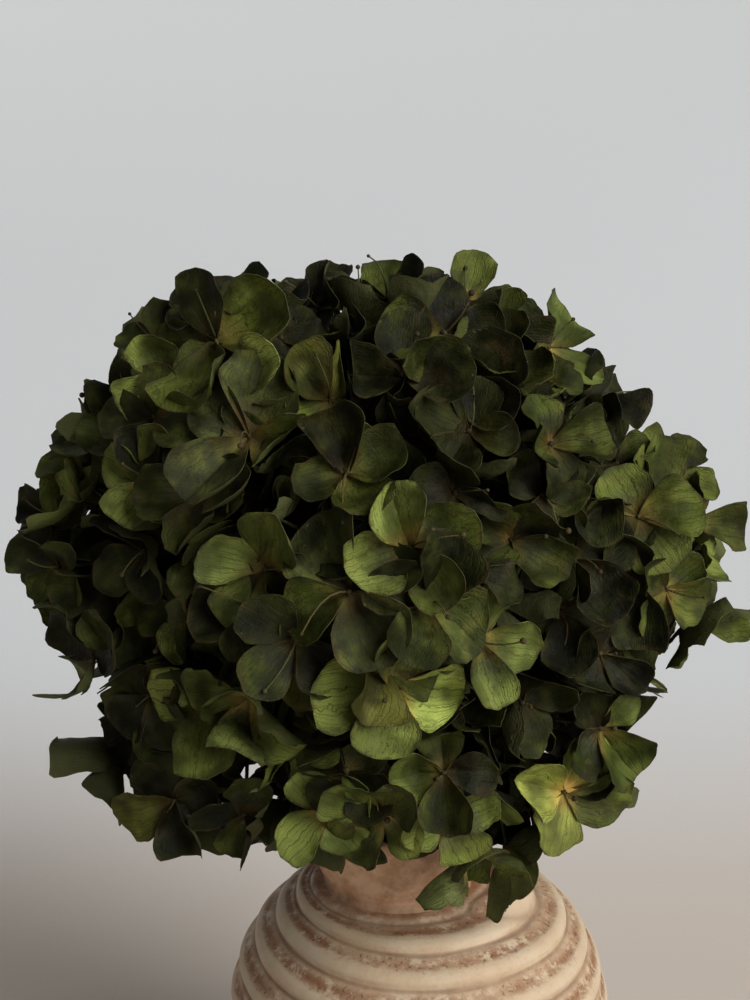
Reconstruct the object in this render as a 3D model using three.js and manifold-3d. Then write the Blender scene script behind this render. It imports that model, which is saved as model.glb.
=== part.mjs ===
// Dried hydrangea heads standing on their stems in a ridged stoneware vase.
// Millimetres, +Z up. The origin is the middle of the vase's foot and the front faces -Y.

import * as THREE from "three";
import { mergeVertices } from "three/addons/utils/BufferGeometryUtils.js";
import Module from "manifold-3d";

const wasm = await Module();
wasm.setup();

// ---------------------------------------------------------------- dimensions

const CLEARANCE = 0.35; // air between a stem and its socket
const DEGREE = Math.PI / 180;
const MERGE = 1e-4; // points nearer to each other than this are one

const VASE = {
  columns: 30,
  footRadius: 42,
  footAngle: 70, // how far round its arc the lower body runs down to the foot
  bellyRadius: 71.5,
  bellyHeight: 66,
  shoulderHeight: 120,
  neckRadius: 26,
  neckOffset: -9.5, // the neck stands to the left of the body's axis
  neckBlend: 55, // angle on the body where the rows begin to shift towards the neck
  wall: 4.8,
  innerAngles: [64, 42, 20, -6, -34], // rows of the inside, as angles on the body
  floor: 7,
  floorInset: 2, // the floor's edge lies this far inside the foot's
};

const RIDGE = {
  count: 11, // raised rings from the foot to the neck
  crest: 1.3,
  groove: -1.0,
  band: -0.1,
  dip: 10, // degrees of the body's arc by which the rings sink at the front
  ends: 12, // the relief fades out over the first and the last twelfth of the body
};

// Slow waves round the vase that make the rings uneven.
const RING_WAVE = { double: 0.3, doubleStart: 0.6, triple: 0.18, tripleStart: 1.1 };

// Terraces beside the neck: middle, radius and rise of each.
const MOUNDS = [
  { x: 24, y: -7, radius: 21, rise: 6.5 },
  { x: 28, y: -2, radius: 12, rise: 5.5 },
];
const MOUND_EDGE = 6; // width of a terrace's slope
// The terraces grow over this angle above the belly and fade over the last ninth below the neck.
const MOUND_FADE = { angle: 40, neck: 9 };

const NECK = [
  // radius and height of each row from the shoulder over the lip and down inside
  [26.4, 122.5],
  [28.6, 127],
  [30.2, 133],
  [31.4, 141],
  [32.4, 146.5],
  [32.0, 148.6],
  [30.0, 149.4],
  [28.0, 148],
  [26.8, 142],
  [25.0, 132],
  [22.0, 124],
];
const LIP = 6; // the row of the neck that stands highest

const STEM = {
  radius: 2.3,
  taper: 0.25, // share of the radius lost from the cut end to the head
  sides: 5,
  steps: 8,
  footRing: 27, // circle of the cut ends on the vase's floor
  throatRing: 13, // circle on which the stems pass the neck
  throatHeight: 134,
  twist: 95 * DEGREE, // turn between the floor and the neck
  straight: [0, 0.4, 0.8, 1], // points of the straight run, as shares of its length
  bendShare: 0.5, // the bend lies this far on the way from the neck to the head's middle
  bendRise: 6, // and this much above that way
  socket: 12, // depth of the socket in a head's core
};

const FLORET = {
  sepals: 4,
  length: 24, // from the middle of a floret to the tip of a sepal
  thickness: 1.7, // of a sepal at its midrib
  pedicel: 1.2, // radius of the stalk
  root: 5, // depth of the stalk's root in the core
  rootFlare: 1.4, // the stalk's root is this many times as thick as the stalk
  inset: 7, // the middle of a floret lies this far inside the head's outline
  unevenness: 5, // range of that depth
};

// What differs from floret to floret: the least value and the range, as shares of a sepal's length.
const VARIETY = {
  length: [0.88, 0.24],
  lift: [-0.1, 0.55],
  span: [0.85, 0.25],
  curl: [-0.12, 0.3],
};

const SEED = { first: 977, step: 131 }; // each head has a random stream of its own
const DRAWS = 24; // random draws kept for each place

// Half of a sepal's outline: angle from its midrib, and reach and rise as shares of its length.
const SEPAL = [
  { angle: 38, reach: 0.7, rise: 0.66, cup: 0.08, curl: 0 },
  { angle: 17, reach: 1.0, rise: 0.95, cup: 0, curl: 1 },
];
const NOTCH = { reach: 0.2, rise: 0.05 }; // where two sepals part
const MIDRIB = { reach: 0.55, rise: 0.5 };

const SPREAD = {
  candidates: 110, // places tried on each head
  spacing: 32, // least distance between the middles of two florets
  jitter: 0.25, // stray of a place from the even spiral
  tilt: 0.6, // stray of a floret's axis
  faceTilt: 0.3, // the same for a floret of the bunch's face
  faceTurn: 0.4, // how far a floret of the face turns towards the eye
  squeeze: 12, // a place this far beyond the next head's edge still gets a floret, pressed back
  pressedTurn: 0.75, // how far a pressed floret turns to the outside of the bunch
  bend: 6, // within this distance of the next head a sepal begins to bend away
  margin: 3, // least distance of a floret's middle from the next head
  gap: 0.3, // kept free on each side between two heads
  reach: 16, // heads nearer than this to each other are parted by a plane
};

const BUNCH = { middle: [-18, -6, 247], hollow: 80 }; // no florets nearer to the middle than hollow

const CORE_SHARE = 0.47; // radius of the dense core of branches as a share of the head's radius
const CORE_DETAIL = 1; // how often the faces of the core's ball are split

// Room kept free of florets round the vase.
const KEEP = { body: 7, neck: 58, neckHeight: 160 };

// The form cut out of the heads round the vase: air on all sides and rows as angles on the body.
const ENVELOPE = { air: 1, angles: [-70, -40, -10, 10, 30, 45, 60, 75] };

// Heads: the middle and the radius of each.
const HEADS = [
  { name: "head_upper_left", at: [-54, -18, 291], radius: 62 },
  { name: "head_upper_middle", at: [2, -18, 293], radius: 62 },
  { name: "head_right", at: [40, -2, 250], radius: 66 },
  { name: "head_left", at: [-76, -2, 250], radius: 65 },
  { name: "head_front", at: [-20, -46, 258], radius: 65 },
  { name: "head_low_front", at: [-10, -36, 196], radius: 58 },
  { name: "head_lower_left", at: [-63, -12, 203], radius: 61 },
  { name: "head_lower_right", at: [20, -14, 200], radius: 62 },
  { name: "head_upper_back", at: [-24, 36, 276], radius: 63 },
  { name: "head_back_left", at: [-60, 42, 222], radius: 61 },
  { name: "head_back_right", at: [20, 42, 220], radius: 61 },
];

// The florets that show on the bunch's face, as seen from the eye: millimetres to the right and
// up on the upright plane through the vase's axis, the turn of a sepal and the sepals' length.
const EYE = [-16.7, -765, 504];
const FACE_ORIGIN = [0, 0, 270];
const FACE_UP = [0, 0.292, 0.956];
const MISSED = 1e4; // ranks a head that the line of sight passes by behind all that it meets
const FACE = [
  [-62, 23, 62, 27],
  [-96, 30, 85, 20],
  [-80, 3, 8, 22],
  [-71, 72, 30, 20],
  [-99, 60, 20, 18],
  [-35, 76, 88, 17],
  [8, 60, 90, 21],
  [18, 81, 60, 16],
  [-7, 45, 0, 23],
  [-29, 36, 40, 19],
  [-27, 9, 20, 21],
  [17, 25, 70, 18],
  [46, 20, 88, 19],
  [-4, -17, 28, 22],
  [2, -37, 60, 23],
  [-26, -33, 35, 26],
  [21, -51, 86, 20],
  [-11, -68, 75, 25],
  [8, -98, 10, 20],
  [-73, -67, 12, 25],
  [-56, -25, 70, 21],
  [-80, -42, 85, 20],
  [-89, -108, 20, 20],
  [-64, -113, 75, 19],
  [51, -105, 60, 23],
  [64, -82, 30, 21],
  [10, -115, 20, 18],
  [-14, -113, 50, 20],
  [-34, -112, 40, 18],
  [97, 14, 40, 18],
  [101, -8, 80, 19],
  [88, -32, 55, 18],
  [-137, -4, 10, 18],
  [-130, -24, 60, 18],
  [55, -22, 25, 22],
  [43, 2, 60, 20],
  [32, -14, 45, 21],
  [50, -40, 10, 21],
  [12, 3, 80, 19],
  [-45, -50, 40, 21],
  [-45, -85, 25, 21],
  [-98, -16, 35, 20],
  [-97, 7, 70, 19],
  [36, -73, 15, 21],
  [-27, -98, 60, 20],
  [50, 59, 30, 20],
  [64, 38, 75, 20],
  [78, -6, 20, 20],
  [-62, -38, 15, 21],
  [-98, -70, 50, 20],
  [64, -55, 40, 20],
  [-14, 78, 30, 18],
];

const FINISH = {
  stoneware: { color: 0x9c8b78, roughness: 0.8, metalness: 0 },
  stem: { color: 0x54402a, roughness: 0.9, metalness: 0 },
  sepal: { color: 0x6b6b3c, roughness: 0.85, metalness: 0 },
};

// ------------------------------------------------------------------- helpers

// A repeatable stream of numbers from 0 to 1.
function seeded(seed) {
  let state = seed >>> 0;
  return () => {
    state = (Math.imul(state, 1664525) + 1013904223) >>> 0;
    return state / 4294967296;
  };
}

function smooth(x) {
  const t = Math.min(1, Math.max(0, x));
  return t * t * (3 - 2 * t);
}

// A closed skin over rows of points, each row a ring, closed by a point at both ends.
function skin(start, rows, end) {
  const across = rows[0].length;
  const points = [start, ...rows.flat(), end];
  const last = points.length - 1;
  const faces = [];
  for (let i = 0; i < across; i += 1) {
    const j = (i + 1) % across;
    faces.push([0, 1 + j, 1 + i]);
    for (let row = 0; row + 1 < rows.length; row += 1) {
      const low = 1 + row * across;
      const high = low + across;
      faces.push([low + i, low + j, high + j]);
      faces.push([low + i, high + j, high + i]);
    }
    const top = 1 + (rows.length - 1) * across;
    faces.push([top + i, top + j, last]);
  }
  return { points, faces };
}

function toSolid({ points, faces }) {
  return new wasm.Manifold(
    new wasm.Mesh({
      numProp: 3,
      vertProperties: new Float32Array(points.flatMap((p) => [p.x, p.y, p.z])),
      triVerts: new Uint32Array(faces.flat()),
    }),
  );
}

function geometryToSolid(geometry) {
  const bare = geometry.clone();
  bare.deleteAttribute("normal");
  bare.deleteAttribute("uv");
  const merged = mergeVertices(bare, MERGE);
  return new wasm.Manifold(
    new wasm.Mesh({
      numProp: 3,
      vertProperties: new Float32Array(merged.attributes.position.array),
      triVerts: new Uint32Array(merged.index.array),
    }),
  );
}

function toMesh(name, solid, finish) {
  const mesh = solid.getMesh();
  const geometry = new THREE.BufferGeometry();
  const position = new Float32Array(mesh.numVert * 3);
  for (let i = 0; i < mesh.numVert; i += 1) {
    position.set(mesh.vertProperties.subarray(i * mesh.numProp, i * mesh.numProp + 3), i * 3);
  }
  geometry.setAttribute("position", new THREE.BufferAttribute(position, 3));
  geometry.setIndex(new THREE.BufferAttribute(new Uint32Array(mesh.triVerts), 1));
  geometry.computeVertexNormals();
  const made = new THREE.Mesh(geometry, new THREE.MeshStandardMaterial(finish));
  made.name = name;
  return made;
}

// The largest single body of a solid: loose scraps of a cut are dropped.
function largestBody(solid) {
  const bodies = solid.decompose().sort((a, b) => b.volume() - a.volume());
  return bodies[0];
}

// ---------------------------------------------------------------------- vase

// Radius and height of the plain body at an angle: below zero down to the foot, zero at the
// belly and 90 at the neck.
function bodyProfile(angle) {
  const a = angle * DEGREE;
  if (angle >= 0) {
    return {
      radius: VASE.neckRadius + (VASE.bellyRadius - VASE.neckRadius) * Math.cos(a),
      height: VASE.bellyHeight + (VASE.shoulderHeight - VASE.bellyHeight) * Math.sin(a),
    };
  }
  const end = VASE.footAngle * DEGREE;
  const middle =
    (VASE.footRadius - VASE.bellyRadius * Math.cos(end)) / (1 - Math.cos(end));
  return {
    radius: middle + (VASE.bellyRadius - middle) * Math.cos(a),
    height: VASE.bellyHeight * (1 + Math.sin(a) / Math.sin(end)),
  };
}

// How far the rings sink at a direction round the vase: most at the front, with slow waves.
function ringWave(phi) {
  const double = RING_WAVE.double * Math.cos(2 * phi + RING_WAVE.doubleStart);
  const triple = RING_WAVE.triple * Math.sin(3 * phi + RING_WAVE.tripleStart);
  return double + triple - Math.sin(phi);
}

// How far the rows have moved towards the neck's axis at an angle on the body.
function neckShift(angle) {
  return VASE.neckOffset * smooth((angle - VASE.neckBlend) / (90 - VASE.neckBlend));
}

function mounds(x, y) {
  let rise = 0;
  for (const mound of MOUNDS) {
    const away = Math.hypot(x - mound.x, y - mound.y);
    rise += mound.rise * smooth((mound.radius - away) / MOUND_EDGE);
  }
  return rise;
}

// A point of the body: share runs from 0 at the foot to 1 at the neck, and relief stands out.
function bodyPoint(share, phi, relief) {
  const span = VASE.footAngle + 90;
  const fade = Math.sin(Math.PI * share);
  const angle = -VASE.footAngle + span * share - RIDGE.dip * fade * ringWave(phi);
  const { radius, height } = bodyProfile(angle);
  const lean = angle * DEGREE;
  const out = radius + relief * Math.cos(lean);
  const x = neckShift(angle) + out * Math.cos(phi);
  const y = out * Math.sin(phi);
  const upper = smooth(angle / MOUND_FADE.angle) * smooth((1 - share) * MOUND_FADE.neck);
  return new THREE.Vector3(x, y, height + relief * Math.sin(lean) + upper * mounds(x, y));
}

function ringRow(radius, height, offset) {
  const row = [];
  for (let i = 0; i < VASE.columns; i += 1) {
    const phi = (i / VASE.columns) * 2 * Math.PI;
    row.push(new THREE.Vector3(offset + radius * Math.cos(phi), radius * Math.sin(phi), height));
  }
  return row;
}

// The rows of the vase. Each raised ring has its narrow groove just below it and then a plain band.
function vaseRows() {
  const steps = [RIDGE.band, RIDGE.groove, RIDGE.crest];
  const count = RIDGE.count * steps.length;
  const rows = [];
  for (let k = 0; k <= count; k += 1) {
    const share = k / count;
    const edge = smooth(share * RIDGE.ends) * smooth((1 - share) * RIDGE.ends);
    const relief = edge * steps[k % steps.length];
    const row = [];
    for (let i = 0; i < VASE.columns; i += 1) {
      row.push(bodyPoint(share, (i / VASE.columns) * 2 * Math.PI, relief));
    }
    rows.push(row);
  }
  for (const [radius, height] of NECK) {
    rows.push(ringRow(radius, height, VASE.neckOffset));
  }
  for (const angle of VASE.innerAngles) {
    const { radius, height } = bodyProfile(angle);
    const lean = angle * DEGREE;
    const inside = radius - VASE.wall * Math.cos(lean);
    rows.push(ringRow(inside, height - VASE.wall * Math.sin(lean), neckShift(angle)));
  }
  rows.push(ringRow(VASE.footRadius - VASE.floorInset, VASE.floor, 0));
  return rows;
}

function vaseSolid() {
  return toSolid(
    skin(new THREE.Vector3(0, 0, 0), vaseRows(), new THREE.Vector3(0, 0, VASE.floor)),
  );
}

// The plain outer form of the vase with a margin round it and its mouth closed.
function vaseEnvelope(margin) {
  const rows = [];
  for (const angle of ENVELOPE.angles) {
    const { radius, height } = bodyProfile(angle);
    const lean = angle * DEGREE;
    rows.push(ringRow(radius + margin * Math.cos(lean), height + margin * Math.sin(lean), 0));
  }
  for (const [radius, height] of NECK.slice(0, LIP + 1)) {
    rows.push(ringRow(radius + margin, height + margin, VASE.neckOffset));
  }
  const top = NECK[LIP][1] + margin;
  return toSolid(
    skin(new THREE.Vector3(0, 0, 0), rows, new THREE.Vector3(VASE.neckOffset, 0, top)),
  );
}

// --------------------------------------------------------------------- stems

// The stems pass the neck evenly spaced and in the order of their heads round it, so that none
// crosses another.
function throatAngles() {
  const step = (2 * Math.PI) / HEADS.length;
  const order = HEADS.map((head, index) => {
    const [x, y] = head.at;
    return { index, angle: Math.atan2(y, x - VASE.neckOffset) };
  }).sort((a, b) => a.angle - b.angle);
  const turn = order.reduce((sum, { angle }, rank) => sum + angle - rank * step, 0) / HEADS.length;
  const angles = [];
  order.forEach(({ index }, rank) => {
    angles[index] = turn + rank * step;
  });
  return angles;
}

function stemCurve(head, angle) {
  const foot = angle - STEM.twist;
  const floor = VASE.floor + CLEARANCE;
  const bottom = new THREE.Vector3(
    STEM.footRing * Math.cos(foot),
    STEM.footRing * Math.sin(foot),
    floor,
  );
  const throat = new THREE.Vector3(
    VASE.neckOffset + STEM.throatRing * Math.cos(angle),
    STEM.throatRing * Math.sin(angle),
    STEM.throatHeight,
  );
  const middle = new THREE.Vector3(...head.at);
  const towards = throat.clone().lerp(middle, STEM.bendShare);
  towards.z += STEM.bendRise;
  const inward = towards.clone().sub(middle).normalize();
  const tip = middle.clone().addScaledVector(inward, head.radius * CORE_SHARE - STEM.socket);
  const line = STEM.straight.map((share) => bottom.clone().lerp(throat, share));
  return new THREE.CatmullRomCurve3([...line, towards, tip]);
}

// A round tube along a curve, thicker by extra all round and longer by extra at both ends.
function tube(curve, extra) {
  const frames = curve.computeFrenetFrames(STEM.steps, false);
  const rows = [];
  for (let k = 0; k <= STEM.steps; k += 1) {
    const t = k / STEM.steps;
    const radius = STEM.radius * (1 - STEM.taper * t) + extra;
    const centre = curve.getPointAt(t);
    if (k === 0) centre.addScaledVector(frames.tangents[0], -extra);
    if (k === STEM.steps) centre.addScaledVector(frames.tangents[k], extra);
    const row = [];
    for (let i = 0; i < STEM.sides; i += 1) {
      const turn = (i / STEM.sides) * 2 * Math.PI;
      const point = centre.clone();
      point.addScaledVector(frames.normals[k], radius * Math.cos(turn));
      point.addScaledVector(frames.binormals[k], radius * Math.sin(turn));
      if (k === 0) point.z = centre.z; // the cut end is level with the floor
      row.push(point);
    }
    rows.push(row);
  }
  const start = curve.getPointAt(0).addScaledVector(frames.tangents[0], -extra);
  const end = curve.getPointAt(1).addScaledVector(frames.tangents[STEM.steps], extra);
  return toSolid(skin(start, rows, end));
}

// --------------------------------------------------------------------- heads

// Planes that part a head from its neighbours: each leaves a strip of air between the two.
function partings(head) {
  const middle = new THREE.Vector3(...head.at);
  return HEADS.filter((other) => other !== head)
    .map((other) => {
      const normal = new THREE.Vector3(...other.at).sub(middle);
      const distance = normal.length();
      normal.normalize();
      const share = (distance ** 2 + head.radius ** 2 - other.radius ** 2) / (2 * distance);
      const reach = head.radius + other.radius + SPREAD.reach;
      return { normal, offset: normal.dot(middle) + share - SPREAD.gap, near: distance < reach };
    })
    .filter((plane) => plane.near);
}

// Bends a point back from the planes, smoothly and without ever coming nearer than the margin.
function bendClear(point, planes, margin) {
  const soft = SPREAD.bend;
  for (const { normal, offset } of planes) {
    const beyond = normal.dot(point) - offset + margin;
    if (beyond > -soft) {
      const bent = -soft * Math.exp(-(beyond + soft) / soft);
      point.addScaledVector(normal, bent - beyond);
    }
  }
}

// Whether a place is too close to the vase for a floret.
function nearVase(place) {
  const across = Math.hypot(place.x, place.y) / (VASE.bellyRadius + KEEP.body);
  const up = (place.z - VASE.bellyHeight) / (VASE.shoulderHeight + KEEP.body - VASE.bellyHeight);
  const inBody = up < 1 && across ** 2 + Math.max(0, up) ** 2 < 1;
  const fromNeck = Math.hypot(place.x - VASE.neckOffset, place.y);
  return inBody || (fromNeck < KEEP.neck && place.z < KEEP.neckHeight);
}

// Even directions over a sphere along a golden spiral.
function spiralDirection(i, count) {
  const z = 1 - (2 * (i + 0.5)) / count;
  const across = Math.sqrt(1 - z * z);
  const turn = i * Math.PI * (3 - Math.sqrt(5));
  return new THREE.Vector3(across * Math.cos(turn), across * Math.sin(turn), z);
}

const bunchMiddle = new THREE.Vector3(...BUNCH.middle);

const eye = new THREE.Vector3(...EYE);

// The head that a spot on the bunch's face lies on, and its place on that head's outline.
function facePlace(across, up) {
  const target = new THREE.Vector3(...FACE_ORIGIN).addScaledVector(new THREE.Vector3(...FACE_UP), up);
  target.x += across;
  const ray = target.sub(eye).normalize();
  let best = null;
  HEADS.forEach((head, index) => {
    const middle = new THREE.Vector3(...head.at);
    const reach = head.radius - FLORET.inset;
    const near = ray.dot(middle.clone().sub(eye));
    const beside = eye.clone().addScaledVector(ray, near);
    const miss = beside.distanceTo(middle) - reach;
    const depth = near - Math.sqrt(Math.max(0, reach ** 2 - (miss + reach) ** 2));
    const rank = miss > 0 ? MISSED + miss : depth;
    if (!best || rank < best.rank) {
      const direction = eye.clone().addScaledVector(ray, depth).sub(middle).normalize();
      best = { rank, index, direction };
    }
  });
  return best;
}

const faceFlorets = FACE.map(([across, up, roll, length]) => ({
  ...facePlace(across, up),
  roll,
  length,
}));

// A value from a range, picked by a random draw.
function picked([least, range], draw) {
  return least + range * draw;
}

// Shifts a direction by three random draws.
function strayed(direction, draws, amount) {
  const shift = new THREE.Vector3(...draws).addScalar(-0.5).multiplyScalar(amount);
  return direction.clone().add(shift).normalize();
}

// The places of the florets on one head: those of the bunch's face first, then an even spread.
// Each comes with the random draws that shape it.
function floretPlaces(head, index, planes) {
  const random = seeded(SEED.first + SEED.step * index);
  const middle = new THREE.Vector3(...head.at);
  const chosen = faceFlorets.filter((floret) => floret.index === index);
  const places = [];
  for (let i = 0; i < chosen.length + SPREAD.candidates; i += 1) {
    const draws = Array.from({ length: DRAWS }, random);
    const face = chosen[i];
    const direction = face
      ? face.direction.clone()
      : strayed(
          spiralDirection(i - chosen.length, SPREAD.candidates),
          draws.slice(0, 3),
          SPREAD.jitter,
        );
    const depth = FLORET.inset + (face ? 0 : FLORET.unevenness * (draws[3] - 0.5));
    const place = middle.clone().addScaledVector(direction, head.radius - depth);
    const beyond = Math.max(...planes.map(({ normal, offset }) => normal.dot(place) - offset));
    bendClear(place, planes, SPREAD.margin);
    const outward = place.clone().sub(bunchMiddle);
    const hidden = beyond > SPREAD.squeeze || outward.length() < BUNCH.hollow;
    const crowded = places.some((other) => other.place.distanceTo(place) < SPREAD.spacing);
    if (!face && (hidden || crowded || nearVase(place))) continue;
    const pressed = smooth(1 + beyond / FLORET.length);
    direction.lerp(outward.normalize(), SPREAD.pressedTurn * pressed).normalize();
    if (face) direction.lerp(eye.clone().sub(place).normalize(), SPREAD.faceTurn).normalize();
    places.push({
      place,
      axis: strayed(direction, draws.slice(4, 7), face ? SPREAD.faceTilt : SPREAD.tilt),
      roll: (face ? face.roll : (draws[7] * 360) / FLORET.sepals) * DEGREE,
      length: face ? face.length : FLORET.length * picked(VARIETY.length, draws[8]),
      lifts: draws.slice(9, 13).map((draw) => picked(VARIETY.lift, draw)),
      spans: draws.slice(13, 17).map((draw) => picked(VARIETY.span, draw)),
      curls: draws.slice(17, 21).map((draw) => picked(VARIETY.curl, draw)),
    });
  }
  return places;
}

// One floret as a closed skin: four broad sepals round a middle, each with a raised midrib, on a
// slender stalk that runs into the head's core.
function floretSkin(floret, head, planes) {
  const { place, axis, roll, length } = floret;
  const side = new THREE.Vector3(0, 0, 1).cross(axis).normalize();
  const up = axis.clone().cross(side);
  const points = [];
  const faces = [];
  const at = (turn, reach, rise) => {
    const point = place.clone();
    point.addScaledVector(side, reach * Math.cos(turn));
    point.addScaledVector(up, reach * Math.sin(turn));
    point.addScaledVector(axis, rise);
    points.push(point);
    return points.length - 1;
  };
  const half = FLORET.thickness / 2;
  const inward = new THREE.Vector3(...head.at).sub(place);
  inward.setLength(inward.length() - head.radius * CORE_SHARE + FLORET.root);
  const part = (2 * Math.PI) / FLORET.sepals;
  const top = at(0, 0, half);
  const notches = [];
  const throat = [];
  const root = [];
  for (let k = 0; k < FLORET.sepals; k += 1) {
    const turn = roll + (k - 0.5) * part;
    notches.push(at(turn, NOTCH.reach * length, NOTCH.rise * length));
    throat.push(at(turn, FLORET.pedicel, -half));
    root.push(at(turn, FLORET.pedicel * FLORET.rootFlare, 0));
    points[root[k]].add(inward);
  }
  for (let k = 0; k < FLORET.sepals; k += 1) {
    const next = (k + 1) % FLORET.sepals;
    const turn = roll + k * part;
    const span = length * floret.spans[k];
    const corner = ({ angle, reach, rise, cup, curl }, hand) =>
      at(
        turn + hand * angle * DEGREE,
        reach * span,
        length * (rise * floret.lifts[k] + cup + curl * floret.curls[k]),
      );
    const right = SEPAL.map((spot) => corner(spot, -1));
    const left = SEPAL.map((spot) => corner(spot, 1)).reverse();
    const outline = [notches[k], ...right, ...left, notches[next]];
    const ribRise = MIDRIB.rise * floret.lifts[k] * length;
    const ribTop = at(turn, MIDRIB.reach * span, ribRise + half);
    const ribUnder = at(turn, MIDRIB.reach * span, ribRise - half);
    for (let i = 0; i + 1 < outline.length; i += 1) {
      faces.push([ribTop, outline[i], outline[i + 1]]);
      faces.push([ribUnder, outline[i + 1], outline[i]]);
    }
    faces.push([ribTop, notches[next], top]);
    faces.push([ribTop, top, notches[k]]);
    faces.push([ribUnder, throat[next], notches[next]]);
    faces.push([ribUnder, throat[k], throat[next]]);
    faces.push([ribUnder, notches[k], throat[k]]);
    faces.push([throat[next], throat[k], root[k]]);
    faces.push([throat[next], root[k], root[next]]);
    if (k > 0 && k + 1 < FLORET.sepals) faces.push([root[0], root[next], root[k]]);
  }
  for (const point of points) bendClear(point, planes, 0);
  return { points, faces };
}

function headSolid(head, index, sockets, envelope) {
  const planes = partings(head);
  const ball = new THREE.IcosahedronGeometry(head.radius * CORE_SHARE, CORE_DETAIL);
  ball.translate(...head.at);
  const pieces = [geometryToSolid(ball)];
  for (const entry of floretPlaces(head, index, planes)) {
    pieces.push(toSolid(floretSkin(entry, head, planes)));
  }
  let solid = wasm.Manifold.union(pieces);
  for (const { normal, offset } of planes) {
    solid = solid.trimByPlane([-normal.x, -normal.y, -normal.z], -offset);
  }
  for (const cutter of [...sockets, envelope]) {
    solid = solid.subtract(cutter);
  }
  return largestBody(solid);
}

// ------------------------------------------------------------------ assembly

const bunch = new THREE.Group();
bunch.add(toMesh("vase", vaseSolid(), FINISH.stoneware));

const angles = throatAngles();
const curves = HEADS.map((head, index) => stemCurve(head, angles[index]));
const sockets = curves.map((curve) => tube(curve, CLEARANCE));
const envelope = vaseEnvelope(ENVELOPE.air);

HEADS.forEach((head, index) => {
  const stem = tube(curves[index], 0);
  bunch.add(toMesh(head.name.replace("head", "stem"), stem, FINISH.stem));
  bunch.add(toMesh(head.name, headSolid(head, index, sockets, envelope), FINISH.sepal));
});

export default bunch;
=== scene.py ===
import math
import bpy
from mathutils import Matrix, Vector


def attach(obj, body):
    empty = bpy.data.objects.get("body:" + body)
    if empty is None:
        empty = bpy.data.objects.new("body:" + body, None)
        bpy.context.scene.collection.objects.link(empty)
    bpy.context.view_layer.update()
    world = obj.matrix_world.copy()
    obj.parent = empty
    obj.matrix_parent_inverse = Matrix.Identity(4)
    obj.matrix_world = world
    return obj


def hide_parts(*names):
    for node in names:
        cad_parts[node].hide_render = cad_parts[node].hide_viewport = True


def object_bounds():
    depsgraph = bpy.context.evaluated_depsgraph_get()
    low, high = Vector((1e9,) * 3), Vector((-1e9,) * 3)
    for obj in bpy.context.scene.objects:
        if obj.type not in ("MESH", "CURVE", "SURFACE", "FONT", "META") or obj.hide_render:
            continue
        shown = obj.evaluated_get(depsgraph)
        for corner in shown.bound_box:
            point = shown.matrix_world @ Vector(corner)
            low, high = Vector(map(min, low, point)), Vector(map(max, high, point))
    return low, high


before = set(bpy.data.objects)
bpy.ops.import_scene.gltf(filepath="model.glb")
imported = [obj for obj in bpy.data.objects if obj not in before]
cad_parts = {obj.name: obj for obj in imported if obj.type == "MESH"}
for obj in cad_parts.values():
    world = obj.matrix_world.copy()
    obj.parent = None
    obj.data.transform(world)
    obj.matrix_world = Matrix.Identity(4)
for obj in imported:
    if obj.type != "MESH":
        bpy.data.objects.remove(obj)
cad_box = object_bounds()

# Dried hydrangea heads on their stems in a ridged stoneware vase. Shapes are worked out in
# millimetres, in the frame's directions, and become metres when a mesh is made.

from types import SimpleNamespace as Named

import bpy
import numpy as np
from mathutils import Vector

MM = 0.001
DEGREE = math.pi / 180

# ---- dimensions of the frame

VASE = Named(
    foot_radius=42, foot_angle=70, belly_radius=71.5, belly_height=66, shoulder_height=120,
    neck_radius=26, neck_offset=-9.5, neck_blend=55, wall=4.8, floor=7, floor_inset=2,
)
RINGS = 11
RING_DIP = 10
RING_ENDS = 12
RING_WAVE = Named(double=0.3, double_start=0.6, triple=0.18, triple_start=1.1)
MOUNDS = [(24, -7, 21, 6.5), (28, -2, 12, 5.5)]  # middle, radius and rise of each terrace
MOUND_EDGE = 6
MOUND_FADE = (40, 9)
NECK = [
    (26.4, 122.5), (28.6, 127), (30.2, 133), (31.4, 141), (32.4, 146.5), (32.0, 148.6),
    (30.0, 149.4), (28.0, 148), (26.8, 142), (25.0, 132), (22.0, 124),
]
NECK_OUTSIDE = 7  # the first of these points, up to the rim, are on the outside
STEM = Named(
    radius=2.3, taper=0.25, foot_ring=27, throat_ring=13, throat_height=134,
    twist=95 * DEGREE, straight=(0, 0.4, 0.8, 1), bend_share=0.5, bend_rise=6, socket=12,
)
CLEARANCE = 0.35
FLORET = Named(length=24, inset=7, unevenness=5)
SEED = (977, 131)
DRAWS = 24
SPREAD = Named(
    candidates=110, spacing=32, jitter=0.25, tilt=0.6, face_tilt=0.3, face_turn=0.4,
    squeeze=12, pressed_turn=0.75, bend=6, margin=3, gap=0.3, reach=16,
)
BUNCH_MIDDLE = np.array([-18.0, -6.0, 247.0])
BUNCH_HOLLOW = 80
CORE_SHARE = 0.47
KEEP = Named(body=7, neck=58, neck_height=160)
HEADS = [
    ("head_upper_left", (-54, -18, 291), 62),
    ("head_upper_middle", (2, -18, 293), 62),
    ("head_right", (40, -2, 250), 66),
    ("head_left", (-76, -2, 250), 65),
    ("head_front", (-20, -46, 258), 65),
    ("head_low_front", (-10, -36, 196), 58),
    ("head_lower_left", (-63, -12, 203), 61),
    ("head_lower_right", (20, -14, 200), 62),
    ("head_upper_back", (-24, 36, 276), 63),
    ("head_back_left", (-60, 42, 222), 61),
    ("head_back_right", (20, 42, 220), 61),
]
MIDDLES = [np.array(at, float) for _, at, _ in HEADS]
RADII = [radius for _, _, radius in HEADS]
EYE = np.array([-16.7, -765.0, 504.0])
FACE_ORIGIN = np.array([0.0, 0.0, 270.0])
FACE_UP = np.array([0.0, 0.292, 0.956])
MISSED = 1e4
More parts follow.
